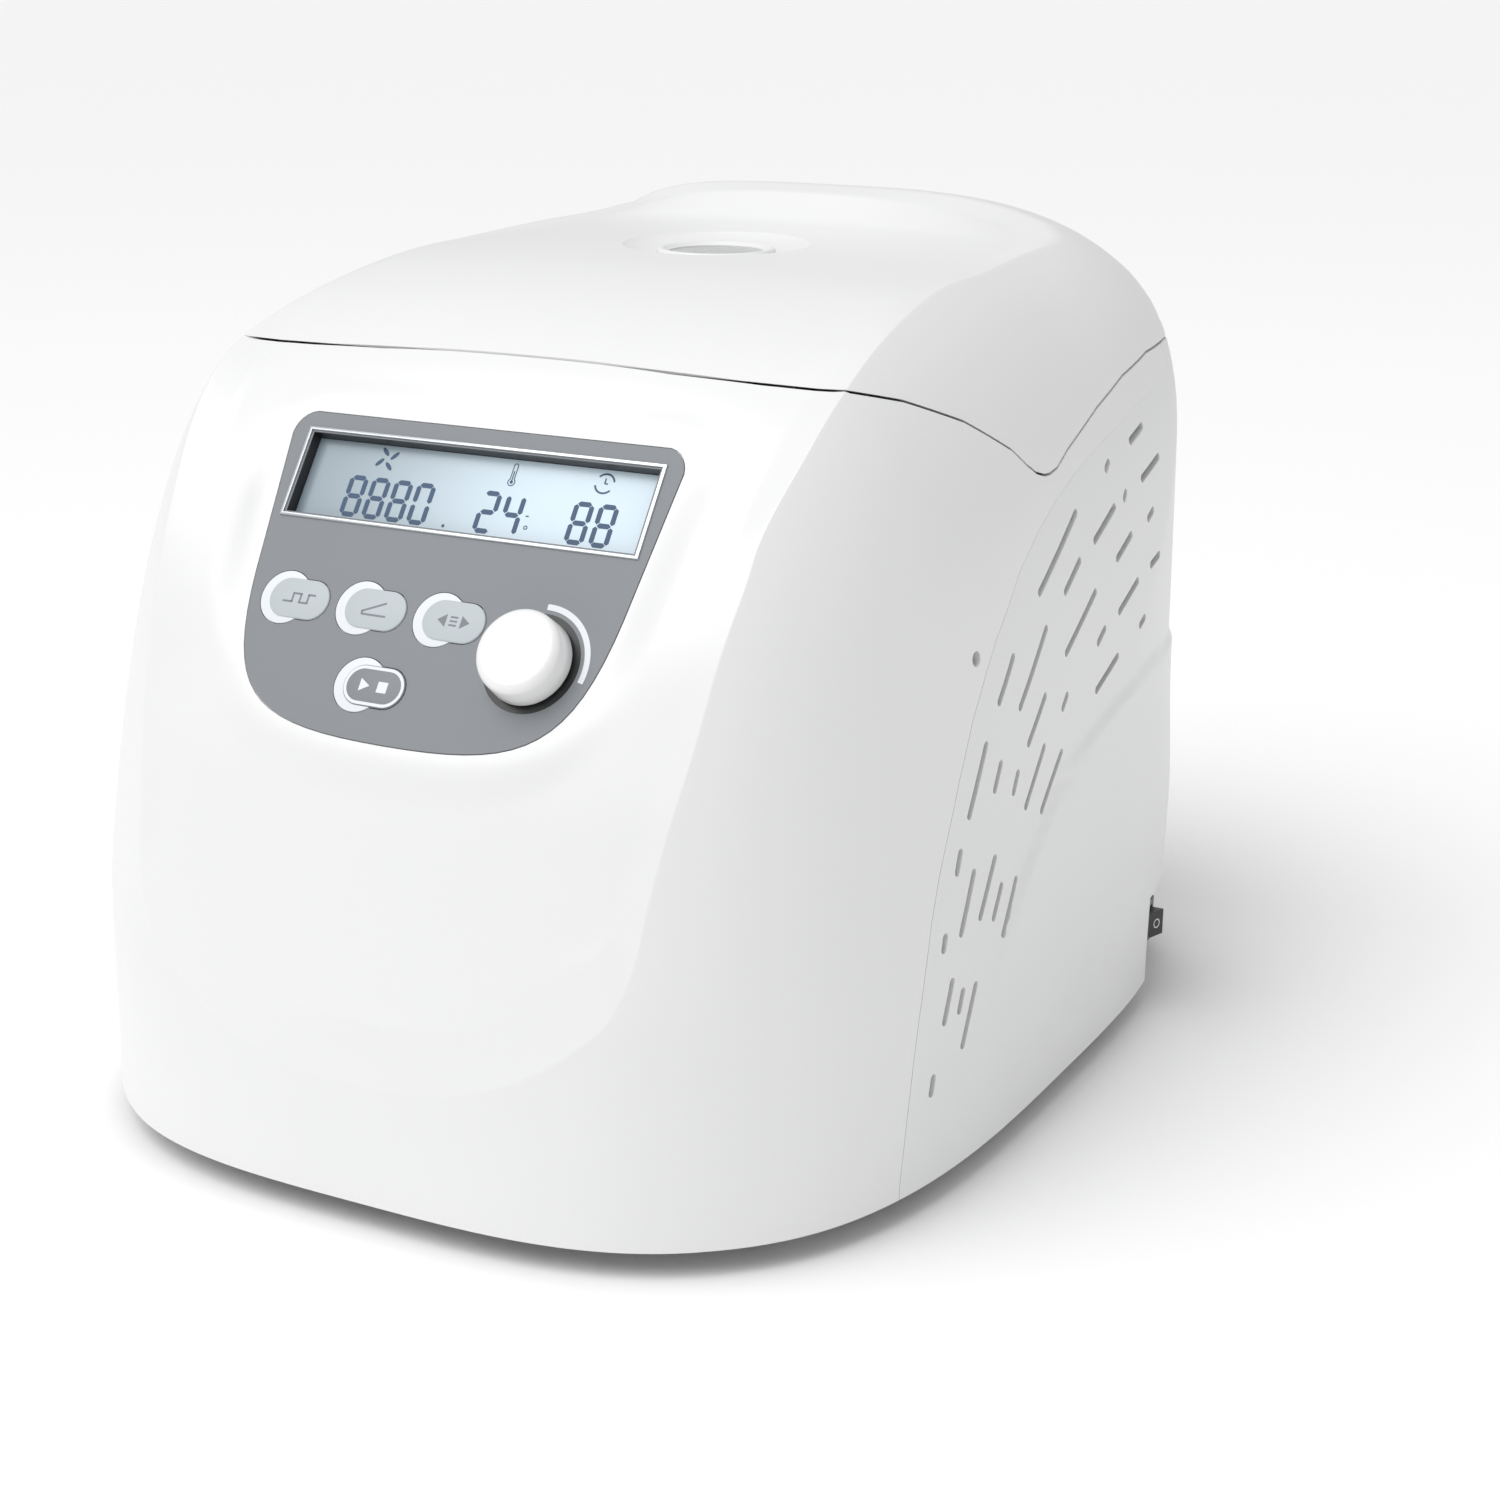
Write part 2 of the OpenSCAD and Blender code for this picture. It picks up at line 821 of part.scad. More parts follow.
module liner_screws() {
    color(steel) for (x = [-70, 70], y = [-40, 60]) {
        translate([x, y, liner_z]) {
            translate([0, 0, -1.6]) cylinder(r = 3.2, h = 1.6);
            cylinder(r = 1.7, h = 20);
        }
    }
}

module window_sleeve() {
    color(white) translate([0, window_y, liner_z + liner_t]) ring(19.4, 17, 246 - liner_z - liner_t);
}

module window_lens() {
    color([0.85, 0.88, 0.9, 0.5]) translate([0, window_y, 246.1]) cylinder(r = 18.7, h = 3.4);
}

module window_ring() {
    color(white) translate([0, window_y, 249.6]) ring(18.9, 15.5, 1.9);
}

module lid_hook() {
    color(steel) difference() {
        union() {
            box([3, 8, liner_z - 149], [0, lock_y, (liner_z + 149) / 2]);
            box([20, 13, 2], [0, lock_y, liner_z - 1]);
        }
        at_lock(-5) cylinder(r = 2.7, h = 10);
    }
}

base_plate();
feet();
foot_screws();
front_housing();
rear_housing();
housing_screws();
chamber_deck();
chamber_bowl();
bowl_gasket();
motor_plate();
shock_mounts();
motor_housing();
motor_stator();
motor_cap();
motor_bearings();
motor_boot();
control_overlay();
lcd_frame();
lcd_window();
lcd_module();
control_board();
tact_switches();
encoder_body();
encoder_shaft();
dial_knob();
pulse_button();
door_button();
select_button();
start_stop_button();
lock_frame();
lock_solenoid();
lock_bolt();
release_tube();
drive_board();
drive_capacitors();
heat_sink();
board_posts();
power_inlet();
inlet_pins();
fuse_drawer();
fuses();
switch_frame();
power_rocker();
hinge_brackets();
hinge_pins();
hinge_springs();
lid_shell();
lid_liner();
window_sleeve();
window_lens();
window_ring();
lid_hook();
hinge_arms();
liner_screws();
motor_shaft();
motor_magnets();
rotor_hub();
rotor_head();
rotor_nut();
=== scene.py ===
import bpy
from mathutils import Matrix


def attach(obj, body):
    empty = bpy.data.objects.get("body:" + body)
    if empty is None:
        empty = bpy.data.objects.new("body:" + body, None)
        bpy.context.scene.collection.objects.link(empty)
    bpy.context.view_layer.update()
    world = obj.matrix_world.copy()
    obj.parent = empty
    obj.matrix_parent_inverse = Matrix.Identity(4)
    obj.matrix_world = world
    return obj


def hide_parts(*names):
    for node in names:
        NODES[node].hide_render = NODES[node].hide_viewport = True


bl_info = {
    "name": "Laboratory Centrifuge Looks",
    "version": (1, 0, 0),
    "blender": (4, 5, 0),
    "location": "3D View > Sidebar > Centrifuge",
    "description": "Builds the housings, controls and finishes of a bench centrifuge around its packed frame",
    "category": "Object",
}

import math

import bmesh
import bpy
import numpy as np
from mathutils import Matrix, Vector

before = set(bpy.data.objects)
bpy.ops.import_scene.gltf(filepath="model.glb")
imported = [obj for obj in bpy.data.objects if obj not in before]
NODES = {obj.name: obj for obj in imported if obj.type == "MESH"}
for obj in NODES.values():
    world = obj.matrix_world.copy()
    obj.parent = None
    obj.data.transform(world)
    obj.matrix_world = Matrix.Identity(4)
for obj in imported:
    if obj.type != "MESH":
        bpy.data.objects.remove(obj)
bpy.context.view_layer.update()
MM = 0.001

# ---------------------------------------------------------------- shape of the body, in millimetres

HALF_WIDTH, HALF_LENGTH, WAIST_Z, SKIRT_Z = 137.9, 181.6, 70.0, 8.0
FRONT_POWER, REAR_POWER, TOP_POWER = 3.24, 3.4, 3.47
CROWN_POWER = 2.55
# Side outline of the body, front to rear, as cubic curves in (Y, Z).
SIDE_CURVES = [
    [(-181.6, 70), (-181.6, 103), (-153.2, 224.2), (-103.9, 248.7)],
    [(-103.9, 248.7), (-81.6, 259.8), (-20, 266.0), (20, 266.0)],
    [(20, 266.0), (45, 266.0), (60, 265.8), (82, 265.8)],
    [(82, 265.8), (142, 265.8), (171, 250.2), (174.5, 249.6)],
    [(174.5, 249.6), (176.7, 226), (181.6, 120), (181.6, 70)],
]
# Stations along the recess, bottom to rear: sharp outer edge, inner edge of its chamfer,
# middle of the recess floor and the plan angle at which the wall below meets the skirt.
STATIONS = [
    # outer edge X, Y, Z     inner edge X, Y, Z    middle Y, Z    angle
    (75.5, -174.7, 72.3, 68.0, -172.0, 85.0, -180.6, 62.0, 24),
    (80.0, -172.4, 81.0, 72.5, -169.9, 92.5, -178.7, 72.0, 28),
    (82.0, -167.8, 91.6, 74.8, -167.4, 99.5, -176.2, 84.0, 31),
    (84.0, -164.0, 107.5, 76.8, -164.2, 111.0, -171.6, 104.0, 35),
    (87.0, -158.8, 126.3, 79.6, -159.2, 127.0, -164.8, 129.0, 40),
    (90.0, -151.9, 144.7, 82.2, -152.0, 144.5, -154.6, 151.0, 45),
    (93.0, -143.3, 168.0, 84.8, -142.8, 167.0, -143.6, 169.2, 50),
    (95.5, -133.5, 186.5, 86.8, -132.4, 185.2, -131.2, 186.6, 54),
    (96.5, -124.5, 200.0, 87.6, -122.6, 198.4, -120.8, 199.6, 58),
    (100.0, -104.8, 219.0, 89.4, -102.6, 216.4, -103.5, 217.8, 64),
    (101.0, -88.0, 230.6, 90.0, -84.8, 227.9, -87.0, 232.6, 68),
    (99.0, -64.0, 239.0, 89.6, -60.0, 239.4, -63.0, 243.6, 73),
    (97.0, -34.0, 247.0, 88.8, -30.8, 246.9, -33.0, 250.0, 81),
    (95.0, -5.0, 251.0, 88.0, -5.0, 249.4, -5.0, 252.2, 89),
    (95.0, 24.0, 252.0, 87.0, 22.0, 250.1, 23.0, 252.7, 98),
    (92.0, 61.0, 252.2, 84.0, 58.0, 250.3, 58.0, 252.9, 110),
    (90.0, 89.7, 251.6, 81.0, 82.0, 250.9, 74.0, 254.4, 126),
    (86.5, 106.0, 252.5, 76.5, 95.0, 252.4, 83.0, 258.6, 142),
    (79.0, 116.5, 254.2, 69.5, 103.5, 255.0, 91.5, 263.4, 154),
]
EDGE_FRONT = (-181.6, 44.0)
EDGE_REAR = (103.0, 265.4)
# Lower edge of the lid seen from the side, front to rear, in (Y, Z).
LID_LINE = [
    (-86.5, 232), (-85, 230.8), (-68, 226.5), (-45, 218), (-24, 207), (-17, 201.5), (-12, 198.5),
    (-7, 197), (-3, 196.7), (3, 197.4), (14, 201), (45, 208.5), (74, 214), (105, 217), (137, 217),
    (200, 216),
]
# Joint between the front and the rear housing, bottom to lid, in (Y, Z).
SEAM_LINE = [
    (-107, -20), (-106, 13), (-104, 29), (-101.5, 48), (-99.5, 61), (-97, 73), (-93.3, 86), (-88.4, 98.6),
    (-83, 110), (-77, 124), (-69.5, 139), (-61, 151), (-54, 159), (-35, 174), (-19, 182.4), (-3, 188.4),
    (14, 193), (31, 196.5), (70, 203), (105, 206.5), (126, 207.5), (130, 240),
]
# Raised arc on each side, in (Y, Z).
ARC_LINE = [
    (190, 113), (130, 120), (96, 122), (75, 121.7), (56, 120), (29, 116), (3, 109), (-17, 100), (-34, 88),
    (-45, 78), (-53, 67), (-59, 57), (-62.5, 48), (-65, 39), (-68, 20), (-69, -20),
]
# Ventilation slots on each side: rows of one lean from the vertical in degrees, each slot as Y, Z and length.
SLOT_ROWS = {
    12: [(-92, 38, 7)],
    18: [(-85, 61, 14), (-78, 59, 8), (-87, 79, 6)],
    22: [(-73, 53, 20), (-78, 100, 8)],
    28: [(-74, 87, 20), (-67, 121, 23), (-55, 119, 10), (-43, 114, 8)],
    34: [(-62, 88, 20), (-56, 82, 12), (-48, 78, 19)],
    42: [(-49, 146, 17), (-29, 112, 22)],
    48: [(-30, 145, 30), (-28, 129, 19), (-6, 129, 7), (-16, 107, 23), (53, 180, 5)],
    63: [(-6, 174, 40), (3, 165, 17), (8, 150, 31), (25, 142, 9), (42, 191, 6)],
    71: [(33, 175, 23), (30, 129, 22), (48, 165, 17), (75, 170, 8), (50, 149, 21), (63, 138, 7)],
    79: [(72, 196, 16), (80, 184, 22), (77, 155, 11)],
}
PANEL_ORIGIN, PANEL_LEAN = Vector((0, -117, 198.6)), 35.9
PANEL_SIDE = [(61, -25), (57.5, -70), (46, -77), (0, -77)]
DIAL = (37.3, -47.5)
BUTTONS = {"pulse": (-47.5, -38.8), "door": (-21.5, -38.8), "select": (4.5, -39), "start_stop": (-13.6, -61)}
WINDOW = (0, 30)
# Display, as half width and half height of nested rectangles on the panel.
RIM_OUTER, RIM_INNER, WALL_OUTER = (59.2, 14.2), (58.2, 13.3), (58.1, 13.2)
WALL_INNER, PLATE, FILM_OPENING, POCKET_OPENING = (57.4, 12.6), (57.3, 12.5), (57.5, 12.7), (58.5, 13.7)
# Soft well round the panel: seat under the film, where its slope starts, how wide it is and how far off it reaches.
SEAT_DEPTH, WELL_START, WELL_WIDTH, WELL_REACH, WELL_SPAN = 0.75, 1.0, 12.5, 14, (-110, 60)
ARC_HEIGHT, SKIRT_FLARE = 1.25, 1.8
# Cells of the skin across and along the recess, rows down the wall, points that feel out each wall line.
CELLS_ACROSS, CELLS_ALONG, WALL_ROWS, WALL_PROBES = 72, 170, 124, 161
SHAFT_HOLE, RELEASE_HOLE = 3.7, 2.2


def cubic(points, steps):
    """Points of a cubic curve."""
    t = np.linspace(0, 1, steps + 1)[:, None]
    a, b, c, d = (np.array(p, float) for p in points)
    return (1 - t) ** 3 * a + 3 * (1 - t) ** 2 * t * b + 3 * (1 - t) * t * t * c + t ** 3 * d


def smooth(x):
    """0 below 0, 1 above 1, and an even ramp between."""
    x = np.clip(x, 0, 1)
    return x * x * (3 - 2 * x)


def through(rows, at):
    """Smooth curve through rows, read at values from 0 to 1."""
    rows = np.array(rows, float)
    step = np.linspace(0, 1, len(rows))
    slope = np.gradient(rows, step, axis=0)
    at = np.clip(at, 0, 1)
    i = np.clip(np.searchsorted(step, at, side="right") - 1, 0, len(rows) - 2)
    h = step[1]
    t = ((at - step[i]) / h)[:, None]
    p, q, m, n = rows[i], rows[i + 1], slope[i] * h, slope[i + 1] * h
    return (2 * t ** 3 - 3 * t ** 2 + 1) * p + (t ** 3 - 2 * t ** 2 + t) * m \
        + (3 * t ** 2 - 2 * t ** 3) * q + (t ** 3 - t ** 2) * n


def signed_gap(points, line):
    """Distance of (Y, Z) points from an open line, negative on its right-hand side."""
    line = np.array(line, float)
    best, side = np.full(len(points), 1e9), np.ones(len(points))
    for a, b in zip(line[:-1], line[1:]):
        ab = b - a
        t = np.clip((points - a) @ ab / (ab @ ab), 0, 1)
        away = points - (a + t[:, None] * ab)
        gap = np.hypot(away[:, 0], away[:, 1])
        cross = ab[0] * away[:, 1] - ab[1] * away[:, 0]
        nearer = gap < best
        best = np.where(nearer, gap, best)
        side = np.where(nearer, np.where(cross >= 0, 1.0, -1.0), side)
    return best * side


OUTLINE = np.vstack([cubic(c, 40) for c in SIDE_CURVES])
OUTLINE_LEAN = np.arctan2(OUTLINE[:, 1] - WAIST_Z, -OUTLINE[:, 0])
OUTLINE_REACH = np.hypot(OUTLINE[:, 0], OUTLINE[:, 1] - WAIST_Z)


def onto_body(p):
    """Moves points out from the body's middle line onto its outer surface."""
    x, y, z = p.T
    rise = np.maximum(z - WAIST_Z, 0)
    lean = np.arctan2(rise, -y)
    reach = np.interp(lean, OUTLINE_LEAN, OUTLINE_REACH)
    low = np.where(lean < math.pi / 2, FRONT_POWER, REAR_POWER)
    n = low + (TOP_POWER - low) * np.sin(lean) ** 2
    r = np.hypot(y, rise)
    scale = ((np.abs(x) / HALF_WIDTH) ** n + (r / reach) ** n) ** (-1 / n)
    return np.stack([x * scale, y * scale, np.where(z > WAIST_Z, WAIST_Z + rise * scale, z)], 1)


def side_relief(p):
    """Adds the flare of the skirt and the raised field under the arc to points of the side walls."""
    on_side = smooth((np.abs(p[:, 0]) - 95) / 30)
    gap = signed_gap(p[:, 1:], ARC_LINE)
    field = smooth((gap + 0.6) / 1.8) * smooth((p[:, 2] - 14) / 60) * smooth((168 - p[:, 1]) / 12)
    flare = SKIRT_FLARE * smooth((112 - p[:, 2]) / 50)
    out = p.copy()
    out[:, 0] += np.sign(p[:, 0]) * on_side * (ARC_HEIGHT * field + flare)
    return out


def panel_axes():
    """Origin, across, up and out directions of the control panel."""
    tilt = math.radians(90 - PANEL_LEAN)
    up = Vector((0, math.cos(tilt), math.sin(tilt)))
    out = Vector((0, -math.sin(tilt), math.cos(tilt)))
    return PANEL_ORIGIN, Vector((1, 0, 0)), up, out


def panel_matrix(place=(0, 0), out=0.0):
    """Places something drawn in (across, up, out) millimetres on the panel, in metres."""
    origin, across, up, away = panel_axes()
    centre = origin + across * place[0] + up * place[1] + away * out
    turn = Matrix((across, up, away)).transposed().to_4x4()
    return Matrix.Translation(centre * MM) @ turn @ Matrix.Scale(MM, 4)


def panel_outline(grow=0.0):
    """Closed outline of the control panel in (across, up)."""
    side = cubic(PANEL_SIDE, 18)
    top = [(58.6, 19.0), (62.2, 18.2), (64.2, 15.4), (64.5, 12.0)]
    corner = cubic(top, 6)
    right = np.vstack([corner, side])
    left = right[::-1] * (-1, 1)
    line = np.vstack([right, left[1:]])
    if grow:
        ahead = np.roll(line, -1, axis=0) - np.roll(line, 1, axis=0)
        normal = np.stack([-ahead[:, 1], ahead[:, 0]], 1)
        normal /= np.linalg.norm(normal, axis=1)[:, None] + 1e-9
        line = line + normal * grow
    return line


def floor_points(u, v):
    """Floor of the recess: u runs across from -1 to 1, v from the front bottom to the rear rim."""
    s = through(STATIONS, v)
    crown = 1 - np.abs(u) ** CROWN_POWER
    side_x, side_y, side_z, middle_y, middle_z = s[:, 3:8].T
    p = np.stack([side_x * u, side_y + (middle_y - side_y) * crown, side_z + (middle_z - side_z) * crown], 1)
    origin, _, up, away = (np.array(a) for a in panel_axes())
    local = p - origin
    place = np.stack([local[:, 0], local @ up], 1)
    out = local @ away
    line = panel_outline()
    line = np.vstack([line, line[:1]])
    gap = signed_gap(place, line)
    low, high = WELL_SPAN
    near = (np.abs(out) < WELL_REACH) & (place[:, 1] > low) & (place[:, 1] < high)
    rise = smooth((np.where(near, gap, 99) - WELL_START) / WELL_WIDTH)
    well = SEAT_DEPTH + (out - SEAT_DEPTH) * rise
    return p + away * (well - out)[:, None]


def edge_points(u, v):
    """Sharp outer edge, at the border u = -1, u = 1, v = 0 or v = 1 of the recess."""
    s = through(STATIONS, v)
    crown = 1 - np.abs(u) ** CROWN_POWER
    ends = np.where((v > 0.5)[:, None], EDGE_REAR, EDGE_FRONT)
    (side_x, side_y, side_z), (end_y, end_z) = s[:, :3].T, ends.T
    p = np.stack([side_x * u, side_y + (end_y - side_y) * crown, side_z + (end_z - side_z) * crown], 1)
    return onto_body(p)


def skirt_points(u, v):
    """Points of the skirt's lower edge under the same border."""
    corner = through(STATIONS, v)[:, 8]
    turned = np.where(v > 0.5, 180 - (180 - corner) * np.abs(u), corner * np.abs(u))
    angle = np.radians(turned * np.where(u < 0, -1, 1))
    power = np.where(np.cos(angle) > 0, FRONT_POWER, REAR_POWER)
    x = HALF_WIDTH * np.sign(np.sin(angle)) * np.abs(np.sin(angle)) ** (2 / power)
    y = -HALF_LENGTH * np.sign(np.cos(angle)) * np.abs(np.cos(angle)) ** (2 / power)
    return np.stack([x, y, np.full_like(x, SKIRT_Z)], 1)


# ---------------------------------------------------------------- mesh helpers

def link(bm, name, body, material=None, flat=False, crease=35):
    """Makes bm an object that rides on body."""
    mesh = bpy.data.meshes.new(name)
    bm.to_mesh(mesh)
    bm.free()
    piece = bpy.data.objects.new(name, mesh)
    bpy.context.scene.collection.objects.link(piece)
    if not flat:
        mesh.shade_smooth()
        mesh.set_sharp_from_angle(angle=math.radians(crease))
    if material:
        mesh.materials.append(material)
    if body:
        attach(piece, body)
    return piece


def slab(outline, low, high):
    """Closed plate between two heights from an outline in (X, Y)."""
    bm = bmesh.new()
    ring = [bm.verts.new((x, y, low)) for x, y in outline]
    face = bm.faces.new(ring)
    made = bmesh.ops.extrude_face_region(bm, geom=[face])
    moved = [g for g in made["geom"] if isinstance(g, bmesh.types.BMVert)]
    bmesh.ops.translate(bm, verts=moved, vec=(0, 0, high - low))
    bmesh.ops.recalc_face_normals(bm, faces=bm.faces)
    return bm


def merged(parts):
    """One mesh out of several."""
    whole = bmesh.new()
    for part in parts:
        mesh = bpy.data.meshes.new("part")
        part.to_mesh(mesh)
        part.free()
        whole.from_mesh(mesh)
        bpy.data.meshes.remove(mesh)
    return whole


def side_prism(outline, x0, x1):
    """Closed prism along X from an outline in (Y, Z), in metres."""
    bm = slab(outline, x0, x1)
    turn = Matrix(((0, 0, 1, 0), (1, 0, 0, 0), (0, 1, 0, 0), (0, 0, 0, 1)))
    bmesh.ops.transform(bm, matrix=Matrix.Scale(MM, 4) @ turn, verts=bm.verts)
    return bm


def lathe(outline, steps=96):
    """Solid turned about Z from a closed outline in (radius, height)."""
    bm = bmesh.new()
    ring = [bm.verts.new((max(r, 0), 0, z)) for r, z in outline]
    edges = [bm.edges.new((a, b)) for a, b in zip(ring, ring[1:])]
    if outline[0] != outline[-1] and outline[0][0] > 0:
        edges.append(bm.edges.new((ring[-1], ring[0])))
    bmesh.ops.spin(bm, geom=ring + edges, cent=(0, 0, 0), axis=(0, 0, 1), angle=math.tau, steps=steps,
                   use_merge=True)
    bmesh.ops.remove_doubles(bm, verts=bm.verts, dist=1e-4)
    bmesh.ops.recalc_face_normals(bm, faces=bm.faces)
    return bm


def place(bm, matrix):
    """Moves a millimetre mesh into the frame."""
    bmesh.ops.transform(bm, matrix=matrix, verts=bm.verts)
    return bm


def at(x, y, z):
    """Matrix that puts a millimetre mesh at a point of the frame."""
    return Matrix.Translation(Vector((x, y, z)) * MM) @ Matrix.Scale(MM, 4)


def panel_slab(outline, low, high, spot=(0, 0)):
    """Closed plate between two heights over a place of the panel."""
    return place(slab(outline, low, high), panel_matrix(spot))


def switch_matrix():
    """Place and turn of the mains switch, in metres."""
    return Matrix.Translation(Vector((124.6, 113, 16.6)) * MM) @ Matrix.Rotation(math.radians(5), 4, "Z")


def carve(piece, cutter, how="DIFFERENCE"):
    """Cuts a piece with a closed mesh."""
    mesh = bpy.data.meshes.new("cutter")
    cutter.to_mesh(mesh)
    cutter.free()
    tool = bpy.data.objects.new("cutter", mesh)
    bpy.context.scene.collection.objects.link(tool)
    cut = piece.modifiers.new("cut", "BOOLEAN")
    cut.operation, cut.object, cut.solver = how, tool, "MANIFOLD"
    apply_modifiers(piece)
    bpy.data.objects.remove(tool)


def apply_modifiers(piece):
    """Bakes a piece's modifiers into its mesh."""
    graph = bpy.context.evaluated_depsgraph_get()
    baked = bpy.data.meshes.new_from_object(piece.evaluated_get(graph))
    piece.modifiers.clear()
    old, piece.data = piece.data, baked
    bpy.data.meshes.remove(old)


def skin():
    """The whole outer wall of the machine as one closed shell, before it is parted."""
    bm = bmesh.new()
    bmesh.ops.create_grid(bm, x_segments=CELLS_ACROSS, y_segments=CELLS_ALONG, size=1)
    across, along = bm.verts.layers.float.new("across"), bm.verts.layers.float.new("along")
    for vert in bm.verts:
        vert[across], vert[along] = round(vert.co.x, 6), round((vert.co.y + 1) / 2, 6)

    def put(verts, points):
        for vert, p in zip(verts, points):
            vert.co = p

    def keys(verts):
        return np.array([(vert[across], vert[along]) for vert in verts])

    verts = list(bm.verts)
    put(verts, floor_points(*keys(verts).T))
    border = [v for v in bm.verts if v.is_boundary]
    k = keys(border)
    inner, edge, skirt = (points(*k.T) for points in (floor_points, edge_points, skirt_points))
    chord = edge[:, None] + (skirt - edge)[:, None] * np.linspace(0, 1, WALL_PROBES)[None, :, None]
    wall = onto_body(chord.reshape(-1, 3)).reshape(chord.shape)
    pace = np.linalg.norm(np.diff(wall, axis=1), axis=2)
    run = np.concatenate([np.zeros((len(wall), 1)), np.cumsum(pace, axis=1)], 1)
    index = {tuple(np.round(a, 5)): i for i, a in enumerate(k)}
    soft = 0.35 + 5 * smooth((inner[:, 1] - 70) / 30)

    def down_wall(distance):
        return np.array([[np.interp(d, r, w[:, c]) for c in range(3)]
                         for d, r, w in zip(distance, run, wall)])

    length = run[:, -1]
    toward = inner - edge
    width = np.linalg.norm(toward, axis=1)
    rows = [edge + toward * w for w in (0.8, 0.6, 0.4, 0.2)]
    lip = np.minimum(soft, width * 0.15)
    rows += [edge + toward * (lip / width)[:, None]]
    first = down_wall(lip)
    rows += [(edge * 2 + rows[-1] + first) / 4, first]
    for step in np.linspace(0, 1, WALL_ROWS + 1)[1:]:
        rows.append(side_relief(down_wall(lip + (length - lip) * step)))
    for points in rows:
        edges = [e for e in bm.edges if e.is_boundary]
        made = bmesh.ops.extrude_edge_only(bm, edges=edges)["geom"]
        new = [g for g in made if isinstance(g, bmesh.types.BMVert)]
        put(new, [points[index[(round(v[across], 5), round(v[along], 5))]] for v in new])
    bmesh.ops.scale(bm, vec=(MM, MM, MM), verts=bm.verts)
    bmesh.ops.recalc_face_normals(bm, faces=bm.faces)
    top = max(bm.faces, key=lambda f: f.calc_center_median().z)
    if top.normal.z < 0:
        bmesh.ops.reverse_faces(bm, faces=bm.faces)
    return bm


def lid_prism(drop):
    """Everything above the lid's lower edge, lowered by drop."""
    line = [(y - (drop if i == 0 else 0), z - drop) for i, (y, z) in enumerate(LID_LINE)]
    return side_prism(line + [(200, 320), (LID_LINE[0][0] - drop, 320)], -200, 200)


# ---------------------------------------------------------------- finishes

def sockets(group, scale):
    """Gives a pattern group its inputs and outputs."""
    face = group.interface
    face.new_socket(name="Vector", in_out="INPUT", socket_type="NodeSocketVector")
    face.new_socket(name="Scale", in_out="INPUT", socket_type="NodeSocketFloat").default_value = scale
    for name in ("Grain", "Drift"):
        face.new_socket(name=name, in_out="OUTPUT", socket_type="NodeSocketFloat")
    return group.nodes.new("NodeGroupInput"), group.nodes.new("NodeGroupOutput")


def spark_grain():
    """Fine moulded grain with a slow drift of tone, shared by the plastic finishes."""
    group = bpy.data.node_groups.get("spark_grain")
    if group:
        return group
    group = bpy.data.node_groups.new("spark_grain", "ShaderNodeTree")
    entry, leave = sockets(group, 1600.0)
    fine = group.nodes.new("ShaderNodeTexNoise")
    fine.inputs["Detail"].default_value = 3
    slow = group.nodes.new("ShaderNodeTexNoise")
    slow.inputs["Scale"].default_value = 14
    slow.inputs["Detail"].default_value = 2
    group.links.new(entry.outputs["Vector"], fine.inputs["Vector"])
    group.links.new(entry.outputs["Scale"], fine.inputs["Scale"])
    group.links.new(entry.outputs["Vector"], slow.inputs["Vector"])
    group.links.new(fine.outputs["Fac"], leave.inputs["Grain"])
    group.links.new(slow.outputs["Fac"], leave.inputs["Drift"])
    return group


def tool_marks():
    """Rings that a lathe or a brush leaves, around the Z axis of the vector it is given."""
    group = bpy.data.node_groups.get("tool_marks")
    if group:
        return group
    group = bpy.data.node_groups.new("tool_marks", "ShaderNodeTree")
    entry, leave = sockets(group, 900.0)
    split = group.nodes.new("ShaderNodeSeparateXYZ")
    flat = group.nodes.new("ShaderNodeCombineXYZ")
    length = group.nodes.new("ShaderNodeVectorMath")
    length.operation = "LENGTH"
    ring = group.nodes.new("ShaderNodeCombineXYZ")
    marks = group.nodes.new("ShaderNodeTexNoise")
    marks.inputs["Detail"].default_value = 4
    drift = group.nodes.new("ShaderNodeTexNoise")
    drift.inputs["Scale"].default_value = 40
    link_to = group.links.new
    link_to(entry.outputs["Vector"], split.inputs[0])
    link_to(split.outputs["X"], flat.inputs["X"])
    link_to(split.outputs["Y"], flat.inputs["Y"])
    link_to(flat.outputs[0], length.inputs[0])
    link_to(length.outputs["Value"], ring.inputs["X"])
    link_to(split.outputs["Z"], ring.inputs["Z"])
    link_to(ring.outputs[0], marks.inputs["Vector"])
    link_to(entry.outputs["Scale"], marks.inputs["Scale"])
    link_to(entry.outputs["Vector"], drift.inputs["Vector"])
    link_to(marks.outputs["Fac"], leave.inputs["Grain"])
    link_to(drift.outputs["Fac"], leave.inputs["Drift"])
    return group


